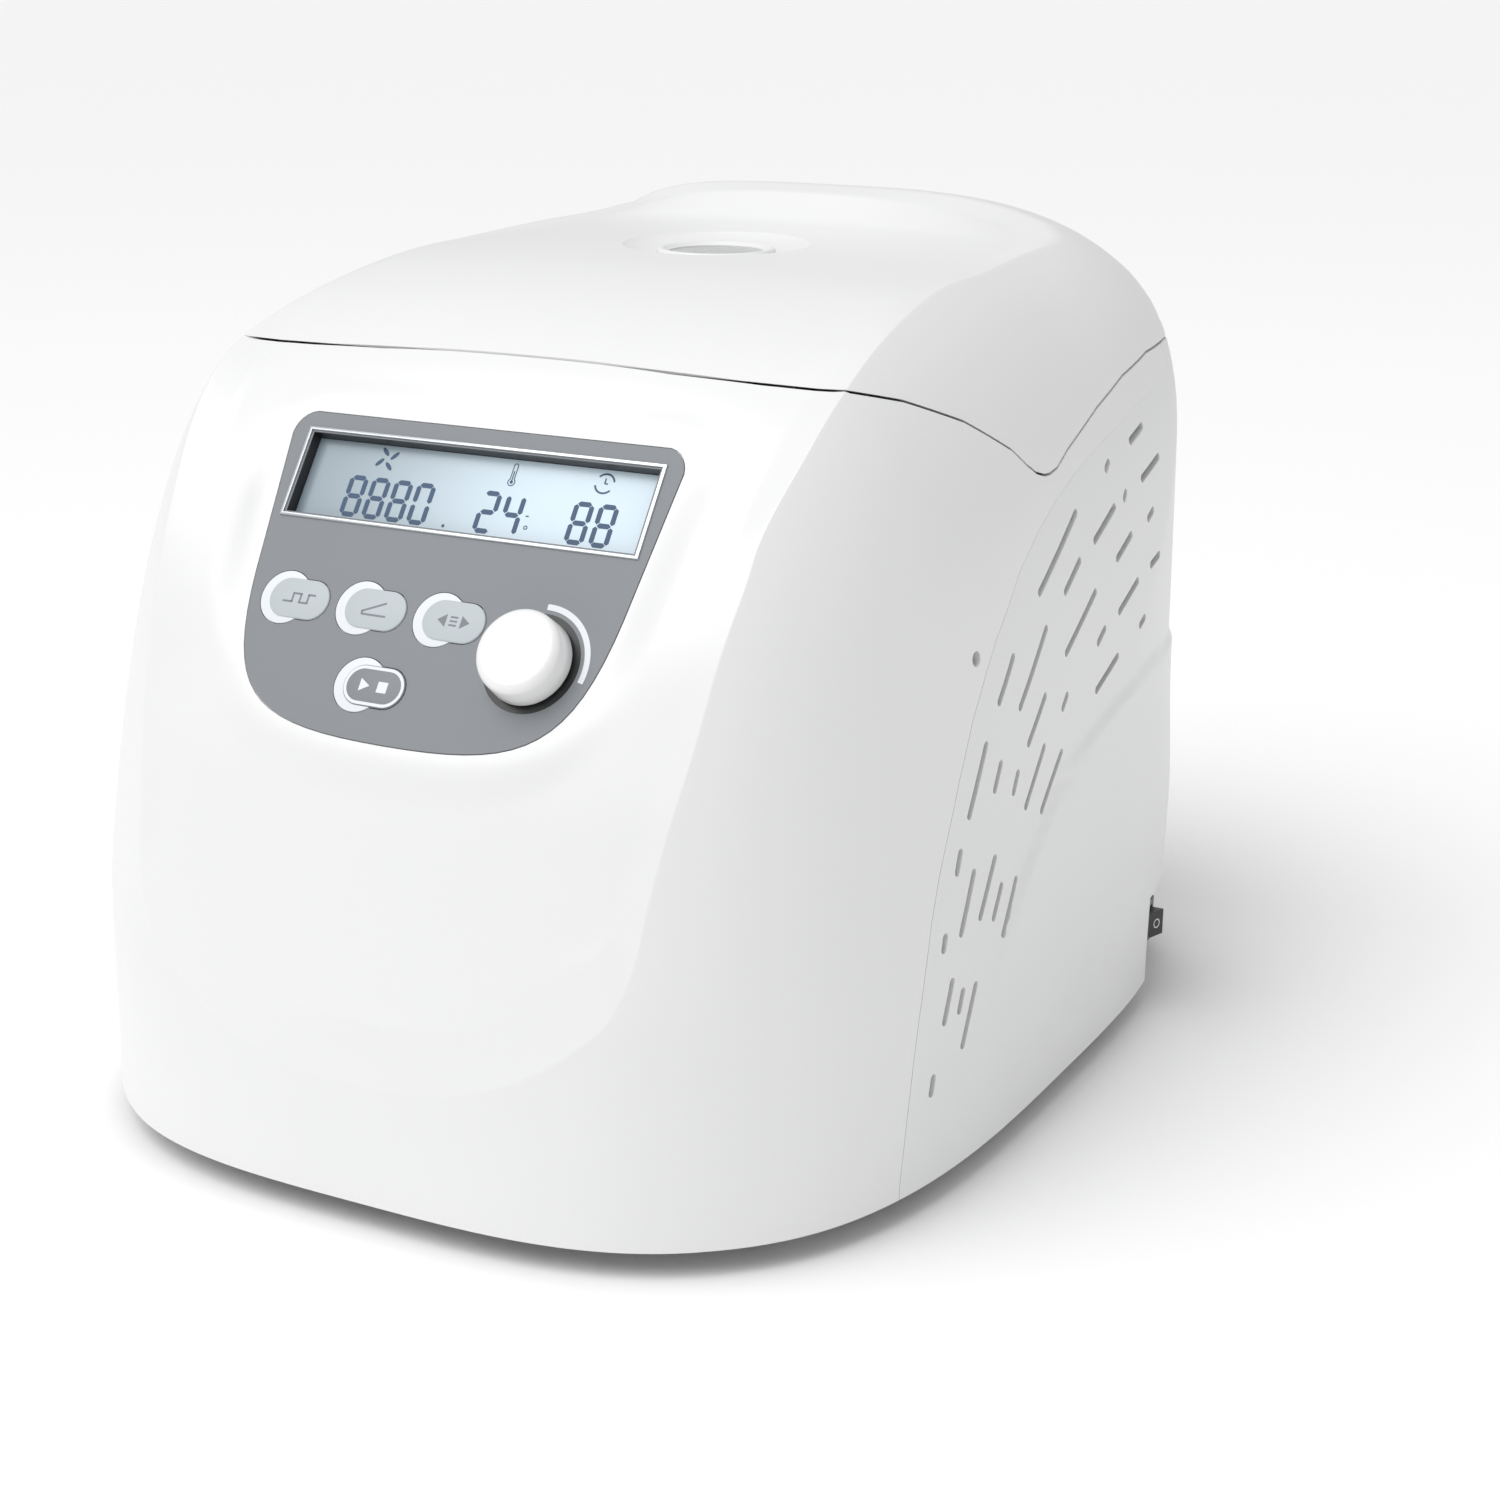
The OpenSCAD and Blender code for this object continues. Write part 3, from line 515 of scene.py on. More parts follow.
def finish(name, light, dark, rough=(0.3, 0.4), metallic=0.0, bump=0.1, depth=0.00002, marks=False,
           scale=1600.0, centre=(0, 0, 0), coat=0.0, **extra):
    """A finish whose tone, roughness and relief come from its surface pattern."""
    found = bpy.data.materials.get(name)
    if found and found.get("finished"):
        return found
    material = bpy.data.materials.new(name)
    material["finished"] = True
    material.use_nodes = True
    nodes, link_to = material.node_tree.nodes, material.node_tree.links.new
    shader = nodes["Principled BSDF"]
    where = nodes.new("ShaderNodeTexCoord")
    centred = nodes.new("ShaderNodeMapping")
    centred.inputs["Location"].default_value = [-c * MM for c in centre]
    pattern = nodes.new("ShaderNodeGroup")
    pattern.node_tree = tool_marks() if marks else spark_grain()
    pattern.inputs["Scale"].default_value = scale
    tone = nodes.new("ShaderNodeMix")
    tone.data_type = "RGBA"
    tone.inputs["A"].default_value, tone.inputs["B"].default_value = (*light, 1), (*dark, 1)
    polish = nodes.new("ShaderNodeMapRange")
    polish.inputs["To Min"].default_value, polish.inputs["To Max"].default_value = rough
    relief = nodes.new("ShaderNodeBump")
    relief.inputs["Strength"].default_value = bump
    relief.inputs["Distance"].default_value = depth
    link_to(where.outputs["Object"], centred.inputs["Vector"])
    link_to(centred.outputs["Vector"], pattern.inputs["Vector"])
    link_to(pattern.outputs["Drift"], tone.inputs["Factor"])
    link_to(pattern.outputs["Grain"], polish.inputs["Value"])
    link_to(pattern.outputs["Grain"], relief.inputs["Height"])
    link_to(tone.outputs["Result"], shader.inputs["Base Color"])
    link_to(polish.outputs["Result"], shader.inputs["Roughness"])
    link_to(relief.outputs["Normal"], shader.inputs["Normal"])
    shader.inputs["Metallic"].default_value = metallic
    shader.inputs["Coat Weight"].default_value = coat
    for key, value in extra.items():
        shader.inputs[key.replace("_", " ")].default_value = value
    return material


def grey(value, warm=0.0):
    """A near neutral colour."""
    return (value * (1 + warm), value, value * (1 - warm))


FINISHES = {
    "white_shell": dict(light=grey(0.85), dark=grey(0.83, -0.004), rough=(0.27, 0.36), bump=0.10, coat=0.1,
                        Coat_Roughness=0.25),
    "side_shell": dict(light=grey(0.83, -0.004), dark=grey(0.81, -0.006), rough=(0.3, 0.4), bump=0.14,
                       coat=0.08, Coat_Roughness=0.3),
    "dial_white": dict(light=grey(0.88), dark=grey(0.86), rough=(0.2, 0.27), bump=0.04, coat=0.25,
                       Coat_Roughness=0.1),
    "panel_film": dict(light=(0.228, 0.240, 0.258), dark=(0.219, 0.231, 0.249), rough=(0.42, 0.52),
                       bump=0.12),
    "key_plastic": dict(light=(0.50, 0.545, 0.57), dark=(0.48, 0.525, 0.55), rough=(0.4, 0.48), bump=0.08),
    "display_frame": dict(light=(0.62, 0.65, 0.67), dark=(0.55, 0.58, 0.6), rough=(0.22, 0.3), bump=0.05,
                          metallic=0.6),
    "display_glass": dict(light=(0.62, 0.74, 0.82), dark=(0.58, 0.7, 0.79), rough=(0.18, 0.26), bump=0.04),
    "foot_rubber": dict(light=grey(0.3, -0.03), dark=grey(0.24, -0.03), rough=(0.6, 0.75), bump=0.3,
                        scale=900.0),
    "black_rubber": dict(light=grey(0.035), dark=grey(0.025), rough=(0.6, 0.75), bump=0.3, scale=900.0),
    "black_plastic": dict(light=grey(0.022, -0.05), dark=grey(0.014, -0.05), rough=(0.25, 0.36), bump=0.12),
    "bowl_steel": dict(light=grey(0.62), dark=grey(0.54), rough=(0.2, 0.36), bump=0.25, metallic=1.0,
                       marks=True, centre=(0, 32, 0)),
    "plain_steel": dict(light=grey(0.56), dark=grey(0.46), rough=(0.3, 0.45), bump=0.15, metallic=1.0,
                        scale=500.0),
    "bright_steel": dict(light=grey(0.66), dark=grey(0.58), rough=(0.16, 0.28), bump=0.1, metallic=1.0,
                         marks=True),
    "cast_aluminium": dict(light=grey(0.6), dark=grey(0.52), rough=(0.32, 0.46), bump=0.2, metallic=1.0,
                           scale=700.0),
    "rotor_alloy": dict(light=(0.47, 0.49, 0.52), dark=(0.4, 0.42, 0.45), rough=(0.24, 0.34), bump=0.16,
                        metallic=1.0, marks=True, centre=(0, 32, 0)),
    "iron_laminations": dict(light=grey(0.2), dark=grey(0.15), rough=(0.4, 0.55), bump=0.3, metallic=1.0,
                             scale=800.0),
    "copper_winding": dict(light=(0.6, 0.28, 0.12), dark=(0.5, 0.2, 0.08), rough=(0.25, 0.4), bump=0.4,
                           metallic=1.0, marks=True, centre=(0, 32, 0)),
    "circuit_board": dict(light=(0.03, 0.19, 0.08), dark=(0.02, 0.13, 0.05), rough=(0.3, 0.4), bump=0.1),
    "brass_parts": dict(light=(0.72, 0.55, 0.22), dark=(0.6, 0.44, 0.16), rough=(0.22, 0.34), bump=0.1,
                        metallic=1.0),
    "print_white": dict(light=(0.8, 0.83, 0.86), dark=(0.78, 0.81, 0.84), rough=(0.4, 0.5), bump=0.05),
    "print_grey": dict(light=(0.2, 0.22, 0.24), dark=(0.18, 0.2, 0.22), rough=(0.4, 0.5), bump=0.05),
    "switch_mark": dict(light=grey(0.75), dark=grey(0.7), rough=(0.4, 0.5), bump=0.05),
    "digit_ink": dict(light=(0.012, 0.062, 0.15), dark=(0.010, 0.052, 0.13), rough=(0.3, 0.4), bump=0.03),
}


# See-through finishes: colour, roughness and transmission.
WINDOWS = {"clear_window": ((0.95, 0.97, 0.98), 0.05, 0.9), "frosted_window": ((0.93, 0.94, 0.95), 0.35, 0.55)}


def finish_for(name):
    """The finish with that name, made on first use."""
    if name in WINDOWS:
        return clear_plastic("finish_" + name, *WINDOWS[name])
    return finish("finish_" + name, **FINISHES[name])


def clear_plastic(name, colour, rough, weight):
    """A see-through finish with a faint surface ripple."""
    material = bpy.data.materials.get(name)
    if material:
        return material
    material = bpy.data.materials.new(name)
    material.use_nodes = True
    nodes, link_to = material.node_tree.nodes, material.node_tree.links.new
    shader = nodes["Principled BSDF"]
    shader.inputs["Base Color"].default_value = (*colour, 1)
    shader.inputs["Roughness"].default_value = rough
    shader.inputs["Transmission Weight"].default_value = weight
    shader.inputs["IOR"].default_value = 1.45
    where = nodes.new("ShaderNodeTexCoord")
    centred = nodes.new("ShaderNodeMapping")
    pattern = nodes.new("ShaderNodeGroup")
    pattern.node_tree = spark_grain()
    pattern.inputs["Scale"].default_value = 400
    relief = nodes.new("ShaderNodeBump")
    relief.inputs["Strength"].default_value = 0.03
    relief.inputs["Distance"].default_value = 0.00001
    link_to(where.outputs["Object"], centred.inputs["Vector"])
    link_to(centred.outputs["Vector"], pattern.inputs["Vector"])
    link_to(pattern.outputs["Grain"], relief.inputs["Height"])
    link_to(relief.outputs["Normal"], shader.inputs["Normal"])
    return material


def display_with_painted_shade():
    """Liquid crystal background: pale blue, with painted shade that darkens it towards its left edge."""
    material = bpy.data.materials.get("finish_display")
    if material:
        return material
    material = bpy.data.materials.new("finish_display")
    material.use_nodes = True
    nodes, link_to = material.node_tree.nodes, material.node_tree.links.new
    shader = nodes["Principled BSDF"]
    where = nodes.new("ShaderNodeTexCoord")
    turned = nodes.new("ShaderNodeMapping")
    turned.vector_type = "POINT"
    split = nodes.new("ShaderNodeSeparateXYZ")
    # Painted shade: a ramp along X darkens the plate towards its left edge, where the wall of the well shades it.
    ramp = nodes.new("ShaderNodeMapRange")
    ramp.inputs["From Min"].default_value, ramp.inputs["From Max"].default_value = -0.056, 0.03
    ramp.interpolation_type = "SMOOTHSTEP"
    pattern = nodes.new("ShaderNodeGroup")
    pattern.node_tree = spark_grain()
    pattern.inputs["Scale"].default_value = 2600
    tone = nodes.new("ShaderNodeMix")
    tone.data_type = "RGBA"
    # Dark end of the painted shade (A), then the plate's own pale blue (B).
    tone.inputs["A"].default_value = (0.30, 0.37, 0.42, 1)
    tone.inputs["B"].default_value = (0.66, 0.79, 0.88, 1)
    relief = nodes.new("ShaderNodeBump")
    relief.inputs["Strength"].default_value = 0.08
    relief.inputs["Distance"].default_value = 0.00001
    polish = nodes.new("ShaderNodeMapRange")
    polish.inputs["To Min"].default_value, polish.inputs["To Max"].default_value = 0.22, 0.3
    link_to(where.outputs["Object"], turned.inputs["Vector"])
    link_to(turned.outputs["Vector"], split.inputs[0])
    link_to(turned.outputs["Vector"], pattern.inputs["Vector"])
    link_to(split.outputs["X"], ramp.inputs["Value"])
    link_to(ramp.outputs["Result"], tone.inputs["Factor"])
    link_to(tone.outputs["Result"], shader.inputs["Base Color"])
    link_to(pattern.outputs["Grain"], relief.inputs["Height"])
    link_to(pattern.outputs["Grain"], polish.inputs["Value"])
    link_to(polish.outputs["Result"], shader.inputs["Roughness"])
    link_to(relief.outputs["Normal"], shader.inputs["Normal"])
    return material


# ---------------------------------------------------------------- outlines for the controls

def pill(length, height, shift=0.0, steps=14):
    """Outline of a bar with round ends."""
    r = height / 2
    angles = np.linspace(0, math.pi, steps)
    right = [(shift + length / 2 - r + r * math.sin(a), -r * math.cos(a)) for a in angles]
    left = [(shift - length / 2 + r - r * math.sin(a), r * math.cos(a)) for a in angles]
    return right + left


def rectangle(half_width, half_height):
    """Outline of a rectangle round the origin."""
    return [(-half_width, -half_height), (half_width, -half_height), (half_width, half_height),
            (-half_width, half_height)]


def disc(radius, centre=(0, 0), steps=40):
    """Outline of a circle."""
    return [(centre[0] + radius * math.cos(a), centre[1] + radius * math.sin(a))
            for a in np.linspace(0, math.tau, steps, endpoint=False)]


def band(radius, width, start, stop, centre=(0, 0), steps=32):
    """Outline of part of a ring, angles in degrees."""
    angles = np.radians(np.linspace(start, stop, steps))
    outer = [(centre[0] + (radius + width / 2) * math.cos(a), centre[1] + (radius + width / 2) * math.sin(a))
             for a in angles]
    inner = [(centre[0] + (radius - width / 2) * math.cos(a), centre[1] + (radius - width / 2) * math.sin(a))
             for a in angles[::-1]]
    return outer + inner


def stroke(a, b, width):
    """Outline of a straight bar between two points."""
    ax, ay = b[0] - a[0], b[1] - a[1]
    n = math.hypot(ax, ay)
    ox, oy = -ay / n * width / 2, ax / n * width / 2
    return [(a[0] + ox, a[1] + oy), (a[0] - ox, a[1] - oy), (b[0] - ox, b[1] - oy), (b[0] + ox, b[1] + oy)]


def plate(outline, low, high, round_over, segments):
    """Closed plate with a softened upper rim."""
    bm = slab(outline, low, high)
    if round_over:
        rim = [e for e in bm.edges if all(abs(v.co.z - high) < 1e-6 for v in e.verts)]
        bmesh.ops.bevel(bm, geom=rim, offset=round_over, segments=segments, profile=0.5, affect="EDGES",
                        material=-1, clamp_overlap=True)
    return bm


def plates(outlines, low, high, round_over=0.0, segments=2):
    """Several closed plates as one mesh."""
    return merged(plate(outline, low, high, round_over, segments) for outline in outlines)


SEGMENTS = {"0": "abcdef", "2": "abged", "4": "fgbc", "8": "abcdefg"}


def digit(mark, x, y, wide, high, thick, gap=0.18):
    """Seven-segment outlines of one digit whose lower left corner is at x, y."""
    t = thick

    def across(cy):
        return [(x + t * 0.5 + gap, cy), (x + t + gap, cy + t / 2), (x + wide - t - gap, cy + t / 2),
                (x + wide - t * 0.5 - gap, cy), (x + wide - t - gap, cy - t / 2), (x + t + gap, cy - t / 2)]

    def upright(cx, low, top):
        return [(cx, low + gap + t * 0.1), (cx - t / 2, low + t / 2 + gap), (cx - t / 2, top - t / 2 - gap),
                (cx, top - gap - t * 0.1), (cx + t / 2, top - t / 2 - gap), (cx + t / 2, low + t / 2 + gap)]

    left, right = x + t / 2, x + wide - t / 2
    bottom, middle, top = y + t * 0.4, y + high / 2, y + high - t * 0.4
    bars = {"a": across(y + high - t / 2), "g": across(middle), "d": across(y + t / 2),
            "f": upright(left, middle, top), "b": upright(right, middle, top),
            "e": upright(left, bottom, middle), "c": upright(right, bottom, middle)}
    return [bars[s] for s in SEGMENTS[mark]]


def blade(centre, angle, length, width, offset=0.9):
    """Outline of one fan blade."""
    points = []
    for t in np.linspace(0, math.tau, 18, endpoint=False):
        px = offset + length / 2 + length / 2 * math.cos(t)
        py = width / 2 * math.sin(t) + 0.35 * width * math.cos(t)
        points.append((centre[0] + px * math.cos(angle) - py * math.sin(angle),
                       centre[1] + px * math.sin(angle) + py * math.cos(angle)))
    return points


# ---------------------------------------------------------------- settings

def length_of(name, text, value):
    """A length setting in millimetres."""
    return bpy.props.FloatProperty(name=name, description=text, default=value, min=0.0)


def colour_of(name, text, value):
    """A colour setting."""
    return bpy.props.FloatVectorProperty(name=name, description=text, default=value, subtype="COLOR",
                                         size=3, min=0, max=1)


class CENTRIFUGE_PG_housing(bpy.types.PropertyGroup):
    wall: length_of("Wall", "Thickness of the moulded housings, in millimetres", 2.6)
    lid_gap: length_of("Lid gap", "Open joint under the lid, in millimetres", 0.8)
    seam_gap: length_of("Seam gap", "Open joint between the two housings, in millimetres", 0.3)
    slot_width: length_of("Slot width", "Width of a ventilation slot, in millimetres", 2.6)


class CENTRIFUGE_PG_panel(bpy.types.PropertyGroup):
    film: length_of("Film thickness", "Thickness of the printed film, in millimetres", 0.8)
    dial_width: length_of("Dial width", "Width of the dial, in millimetres", 26.0)
    dial_height: length_of("Dial height", "How far the dial stands out of the film, in millimetres", 10.0)
    digit_height: length_of("Digit height", "Height of the large digits, in millimetres", 13.0)
    digit_width: length_of("Digit width", "Width of one large digit, in millimetres", 6.3)
    display_depth: length_of("Display depth", "Depth of the display behind the film, in millimetres", 3.2)


class CENTRIFUGE_PG_stage(bpy.types.PropertyGroup):
    floor_colour: colour_of("Floor", "Colour of the floor", (0.98, 0.98, 0.98))
    key_strength: bpy.props.FloatProperty(name="Key light", default=1.45, min=0.0,
                                          description="Strength of the soft light on the left")
    key_spread: bpy.props.FloatProperty(name="Key spread", description="Angle that the key light spans",
                                        default=math.radians(50), min=0.0, subtype="ANGLE")
    top_power: bpy.props.FloatProperty(name="Top light", description="Power of the light above", default=4.5,
                                       min=0.0, unit="POWER")
    sky: bpy.props.FloatProperty(name="Fill", description="Strength of the even light all round",
                                 default=0.56, min=0.0)


# ---------------------------------------------------------------- pieces

def dress(piece, look, body):
    """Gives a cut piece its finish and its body."""
    piece.data.materials.clear()
    piece.data.materials.append(finish_for(look))
    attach(piece, body)


def parted(name, body, slot_name, cuts, node):
    """One housing cut out of the whole skin."""
    look = bpy.context.scene.centrifuge_housing
    piece = link(skin(), name, None)
    wall = piece.modifiers.new("wall", "SOLIDIFY")
    wall.thickness, wall.offset = look.wall * MM, -1
    apply_modifiers(piece)
    for cutter, how in cuts:
        carve(piece, cutter, how)
    mesh = piece.data
    mesh.shade_smooth()
    mesh.set_sharp_from_angle(angle=math.radians(32))
    shading = piece.modifiers.new("shading", "WEIGHTED_NORMAL")
    shading.keep_sharp = True
    dress(piece, slot_name, body)
    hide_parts(node)
    return piece


class CENTRIFUGE_OT_lid(bpy.types.Operator):
    """Lid cover with its window hole and shallow dish"""
    bl_idname = "centrifuge.lid"
    bl_label = "Lid"

    def execute(self, context):
        x, y = WINDOW
        dish = lathe([(0, 250.2), (22, 250.2), (25.5, 250.7), (29, 251.9), (31.5, 253.6), (31.5, 262),
                      (0, 262)])
        hole = lathe([(0, 235), (19, 235), (19, 270), (0, 270)])
        cuts = [(lid_prism(0), "INTERSECT"), (place(dish, at(x, y, 0)), "DIFFERENCE"),
                (place(hole, at(x, y, 0)), "DIFFERENCE")]
        parted("lid_cover", "lid", "white_shell", cuts, "lid_shell")
        return {"FINISHED"}


class CENTRIFUGE_OT_front(bpy.types.Operator):
    """Front housing with the pocket for the control panel"""
    bl_idname = "centrifuge.front"
    bl_label = "Front housing"

    def execute(self, context):
        look = context.scene.centrifuge_housing
        behind = side_prism(SEAM_LINE + [(300, 240), (300, -20)], -200, 200)
        pocket = place(slab(panel_outline(0.35), 0.0, 20), panel_matrix())
        openings = panel_slab(rectangle(*POCKET_OPENING), -20, 5)
        holes = merged(panel_slab(pill(21, 17, 3.5), -20, 5, spot) for spot in BUTTONS.values())
        shaft = panel_slab(disc(SHAFT_HOLE), -20, 5, DIAL)
        across = Matrix.Rotation(math.radians(90), 4, "Y") @ Matrix.Scale(MM, 4)
        release = place(slab(disc(RELEASE_HOLE, steps=24), 118, 160),
                        Matrix.Translation(Vector((0, -66, 155.7)) * MM) @ across)
        cutters = (lid_prism(look.lid_gap), behind, pocket, openings, holes, shaft, release)
        cuts = [(cutter, "DIFFERENCE") for cutter in cutters]
        parted("front_cover", "base", "white_shell", cuts, "front_housing")
        return {"FINISHED"}


def slots_cutter(width):
    """All ventilation slots of both sides."""
    slots = []
    for lean, (y, z, length) in [(lean, slot) for lean, row in SLOT_ROWS.items() for slot in row]:
        turn = Matrix.Rotation(math.radians(-lean), 4, "Z")
        one = slab([tuple(turn @ Vector((b, a, 0)))[:2] for a, b in pill(length, width, steps=7)], -150, 150)
        turn = Matrix(((0, 0, 1, 0), (1, 0, 0, y), (0, 1, 0, z), (0, 0, 0, 1)))
        bmesh.ops.transform(one, matrix=Matrix.Scale(MM, 4) @ turn, verts=one.verts)
        bmesh.ops.recalc_face_normals(one, faces=one.faces)
        slots.append(one)
    return merged(slots)


class CENTRIFUGE_OT_rear(bpy.types.Operator):
    """Rear housing with ventilation slots, switch corner, mains inlet and hinge opening"""
    bl_idname = "centrifuge.rear"
    bl_label = "Rear housing"

    def execute(self, context):
        look = context.scene.centrifuge_housing
        ahead = side_prism([(-300, -20)] + SEAM_LINE + [(-300, 240)], -200, 200)
        bmesh.ops.translate(ahead, verts=ahead.verts, vec=(0, look.seam_gap * MM, 0))
        corner = slab([(0, -29), (40, -29), (40, 71), (0, 71)], -40, 21)
        place(corner, switch_matrix() @ Matrix.Scale(MM, 4))
        inlet = place(slab([(-19, -9), (19, -9), (19, 31), (-19, 31)], 14, 70), at(65, 182, 0))
        hinge = place(slab(rectangle(100, 10), 209.5, 229.5), at(0, 174.5, 0))
        cutters = (lid_prism(look.lid_gap), ahead, slots_cutter(look.slot_width), corner, inlet, hinge)
        cuts = [(cutter, "DIFFERENCE") for cutter in cutters]
        parted("rear_cover", "base", "side_shell", cuts, "rear_housing")
        return {"FINISHED"}


class CENTRIFUGE_OT_panel(bpy.types.Operator):
    """Printed panel film with its openings and the printed arc round the dial"""
    bl_idname = "centrifuge.panel"
    bl_label = "Panel film"

    def execute(self, context):
        look = context.scene.centrifuge_panel
        film = link(place(plates([panel_outline()], 0, look.film), panel_matrix()), "panel_film_sheet", None)
        carve(film, panel_slab(rectangle(*FILM_OPENING), -5, 5))
        for spot in BUTTONS.values():
            carve(film, panel_slab(disc(8.35), -5, 5, spot))
            carve(film, panel_slab(pill(20.5, 12.5, 5), -5, 5, spot))
        carve(film, panel_slab(disc(SHAFT_HOLE), -5, 5, DIAL))
        film.data.set_sharp_from_angle(angle=math.radians(30))
        dress(film, "panel_film", "base")
        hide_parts("control_overlay")
        arc = plates([band(16.6, 1.7, 92, -12, DIAL, 40)], look.film, look.film + 0.03)
        link(place(arc, panel_matrix()), "dial_scale_arc", "base", finish_for("print_white"))
        # Painted shadow: a thin black disc on the film, a little wider than the dial, darkens a ring round the
        # dial's foot.
        well = lathe([(0, look.film), (14.6, look.film), (14.6, look.film + 0.04), (0, look.film + 0.04)])
        link(place(well, panel_matrix(DIAL)), "dial_painted_shadow", "base", finish_for("black_plastic"))
        return {"FINISHED"}


class CENTRIFUGE_OT_display(bpy.types.Operator):
    """Display: rim, side walls made black as painted shade, liquid crystal plate, digits and pictograms"""
    bl_idname = "centrifuge.display"
    bl_label = "Display"

    def execute(self, context):
        look = context.scene.centrifuge_panel
        deep = -look.display_depth
        rim = link(place(plates([rectangle(*RIM_OUTER)], look.film, 1.35, 0.25), panel_matrix()),
                   "display_rim", None)
        carve(rim, panel_slab(rectangle(*RIM_INNER), -5, 5))
        rim.data.set_sharp_from_angle(angle=math.radians(30))
        dress(rim, "display_frame", "base")
        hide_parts("lcd_frame")
        # Painted shade: the side walls of the deep display well are made black to stand for the shade inside it.
        walls = link(panel_slab(rectangle(*WALL_OUTER), deep - 0.6, 0.75), "display_walls", None)
        carve(walls, panel_slab(rectangle(*WALL_INNER), deep, 5))
        dress(walls, "black_plastic", "base")
        sheet = plates([rectangle(*PLATE)], deep, deep + 0.1)
        glass = link(place(sheet, panel_matrix()), "display_plate", "base", display_with_painted_shade())
        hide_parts("lcd_module", "lcd_window")
        wide, high, thick = look.digit_width, look.digit_height, 1.5
        shapes = []
        for mark, x in [("8", -42.6), ("8", -34.9), ("8", -27.2), ("0", -19.5), ("2", 2.6), ("4", 10.6),
                        ("8", 32.4), ("8", 40.2)]:
            shapes += digit(mark, x, -10.7, wide, high, thick)
        ink = (deep + 0.12, deep + 0.16)
        link(place(plates(shapes, *ink), panel_matrix()), "display_digits", "base",
             finish_for("digit_ink"))
        icons = [blade((-32.5, 8.3), 0.5 + turn, 3.2, 1.3) for turn in (0, math.pi / 2, math.pi, -math.pi / 2)]
        icons += [band(2.9, 0.55, 15, 140, (39.5, 8.3)), band(2.9, 0.55, 195, 320, (39.5, 8.3)),
                  stroke((39.5, 8.3), (39.5, 9.9), 0.4), stroke((39.5, 8.3), (40.5, 8.3), 0.4),
                  stroke((9.6, 6.4), (9.6, 10.6), 0.28), stroke((10.9, 6.4), (10.9, 10.6), 0.28),
                  band(0.65, 0.28, 0, 180, (10.25, 10.6)), band(1.1, 0.3, 125, 415, (10.25, 5.6)),
                  disc(0.5, (10.25, 5.6), 16), stroke((10.25, 5.6), (10.25, 9.0), 0.35),
                  disc(0.5, (-6.9, -9.9), 12), stroke((18.3, -4.0), (19.3, -4.0), 0.35),
                  band(0.5, 0.3, 0, 359, (19.4, -7.4), 20)]
        link(place(plates(icons, *ink), panel_matrix()), "display_pictograms", "base",
             finish_for("digit_ink"))
        return {"FINISHED"}


def pictogram(name):
    """Outlines of the generic sign on a key, centred on its bar."""
    c = 5.0
    if name == "pulse":
        line = [(-5, -1.2), (-2.2, -1.2), (-2.2, 1.4), (0.4, 1.4), (0.4, -1.2), (3.0, -1.2), (3.0, 1.4),
                (5, 1.4)]
        bars = []
        for (ax, ay), (bx, by) in zip(line, line[1:]):
            over = 0.28 if ay == by else 0
            bars.append(stroke((c + ax - over, ay), (c + bx + over, by), 0.56))
        return bars
    if name == "door":
        return [stroke((c - 4, -1.8), (c + 4, -1.8), 0.56), stroke((c - 4, -0.9), (c + 3.2, 2.2), 0.56),
                stroke((c - 4.0, -1.8), (c - 4.0, -0.7), 0.56)]
    if name == "select":
        return [[(c - 5.2, 0), (c - 2.4, 1.9), (c - 2.4, -1.9)], [(c + 5.2, 0), (c + 2.4, -1.9), (c + 2.4, 1.9)],
                stroke((c - 1.2, 1.2), (c + 1.2, 1.2), 0.5), stroke((c - 1.2, 0), (c + 1.2, 0), 0.5),
                stroke((c - 1.2, -1.2), (c + 1.2, -1.2), 0.5)]
    return [[(c - 4.6, 1.9), (c - 4.6, -1.9), (c - 1.4, 0)],
            [(c + 1.2, 1.6), (c + 1.2, -1.6), (c + 4.4, -1.6), (c + 4.4, 1.6)]]


class CENTRIFUGE_OT_keys(bpy.types.Operator):
    """Push keys: a pale round field, a raised bar and a generic sign on each"""
    bl_idname = "centrifuge.keys"
    bl_label = "Keys"

    def execute(self, context):
        for name, spot in BUTTONS.items():
            body, node = name + "_key", name + "_button"
            where = panel_matrix(spot)
            dark = name == "start_stop"
            field = link(place(plates([disc(8.1, steps=64)], -3.2, 0.95, 0.2), where), name + "_key_field",
                         body, finish_for("print_white"))
            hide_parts(node)
            bar = plates([pill(20, 12, 5, 24)], -3.2, 1.25, 0.35, 3)
            link(place(bar, where), name + "_key_bar", body,
                 finish_for("panel_film" if dark else "key_plastic"))
            if dark:
                ring = link(panel_slab(pill(19.4, 11.4, 5, 24), 1.24, 1.29, spot), name + "_key_ring", None)
                carve(ring, panel_slab(pill(17.6, 9.6, 5, 24), 0, 5, spot))
                dress(ring, "print_white", body)
            link(place(plates(pictogram(name), 1.25, 1.3), where), name + "_key_sign", body,
                 finish_for("print_white" if dark else "print_grey"))
        return {"FINISHED"}


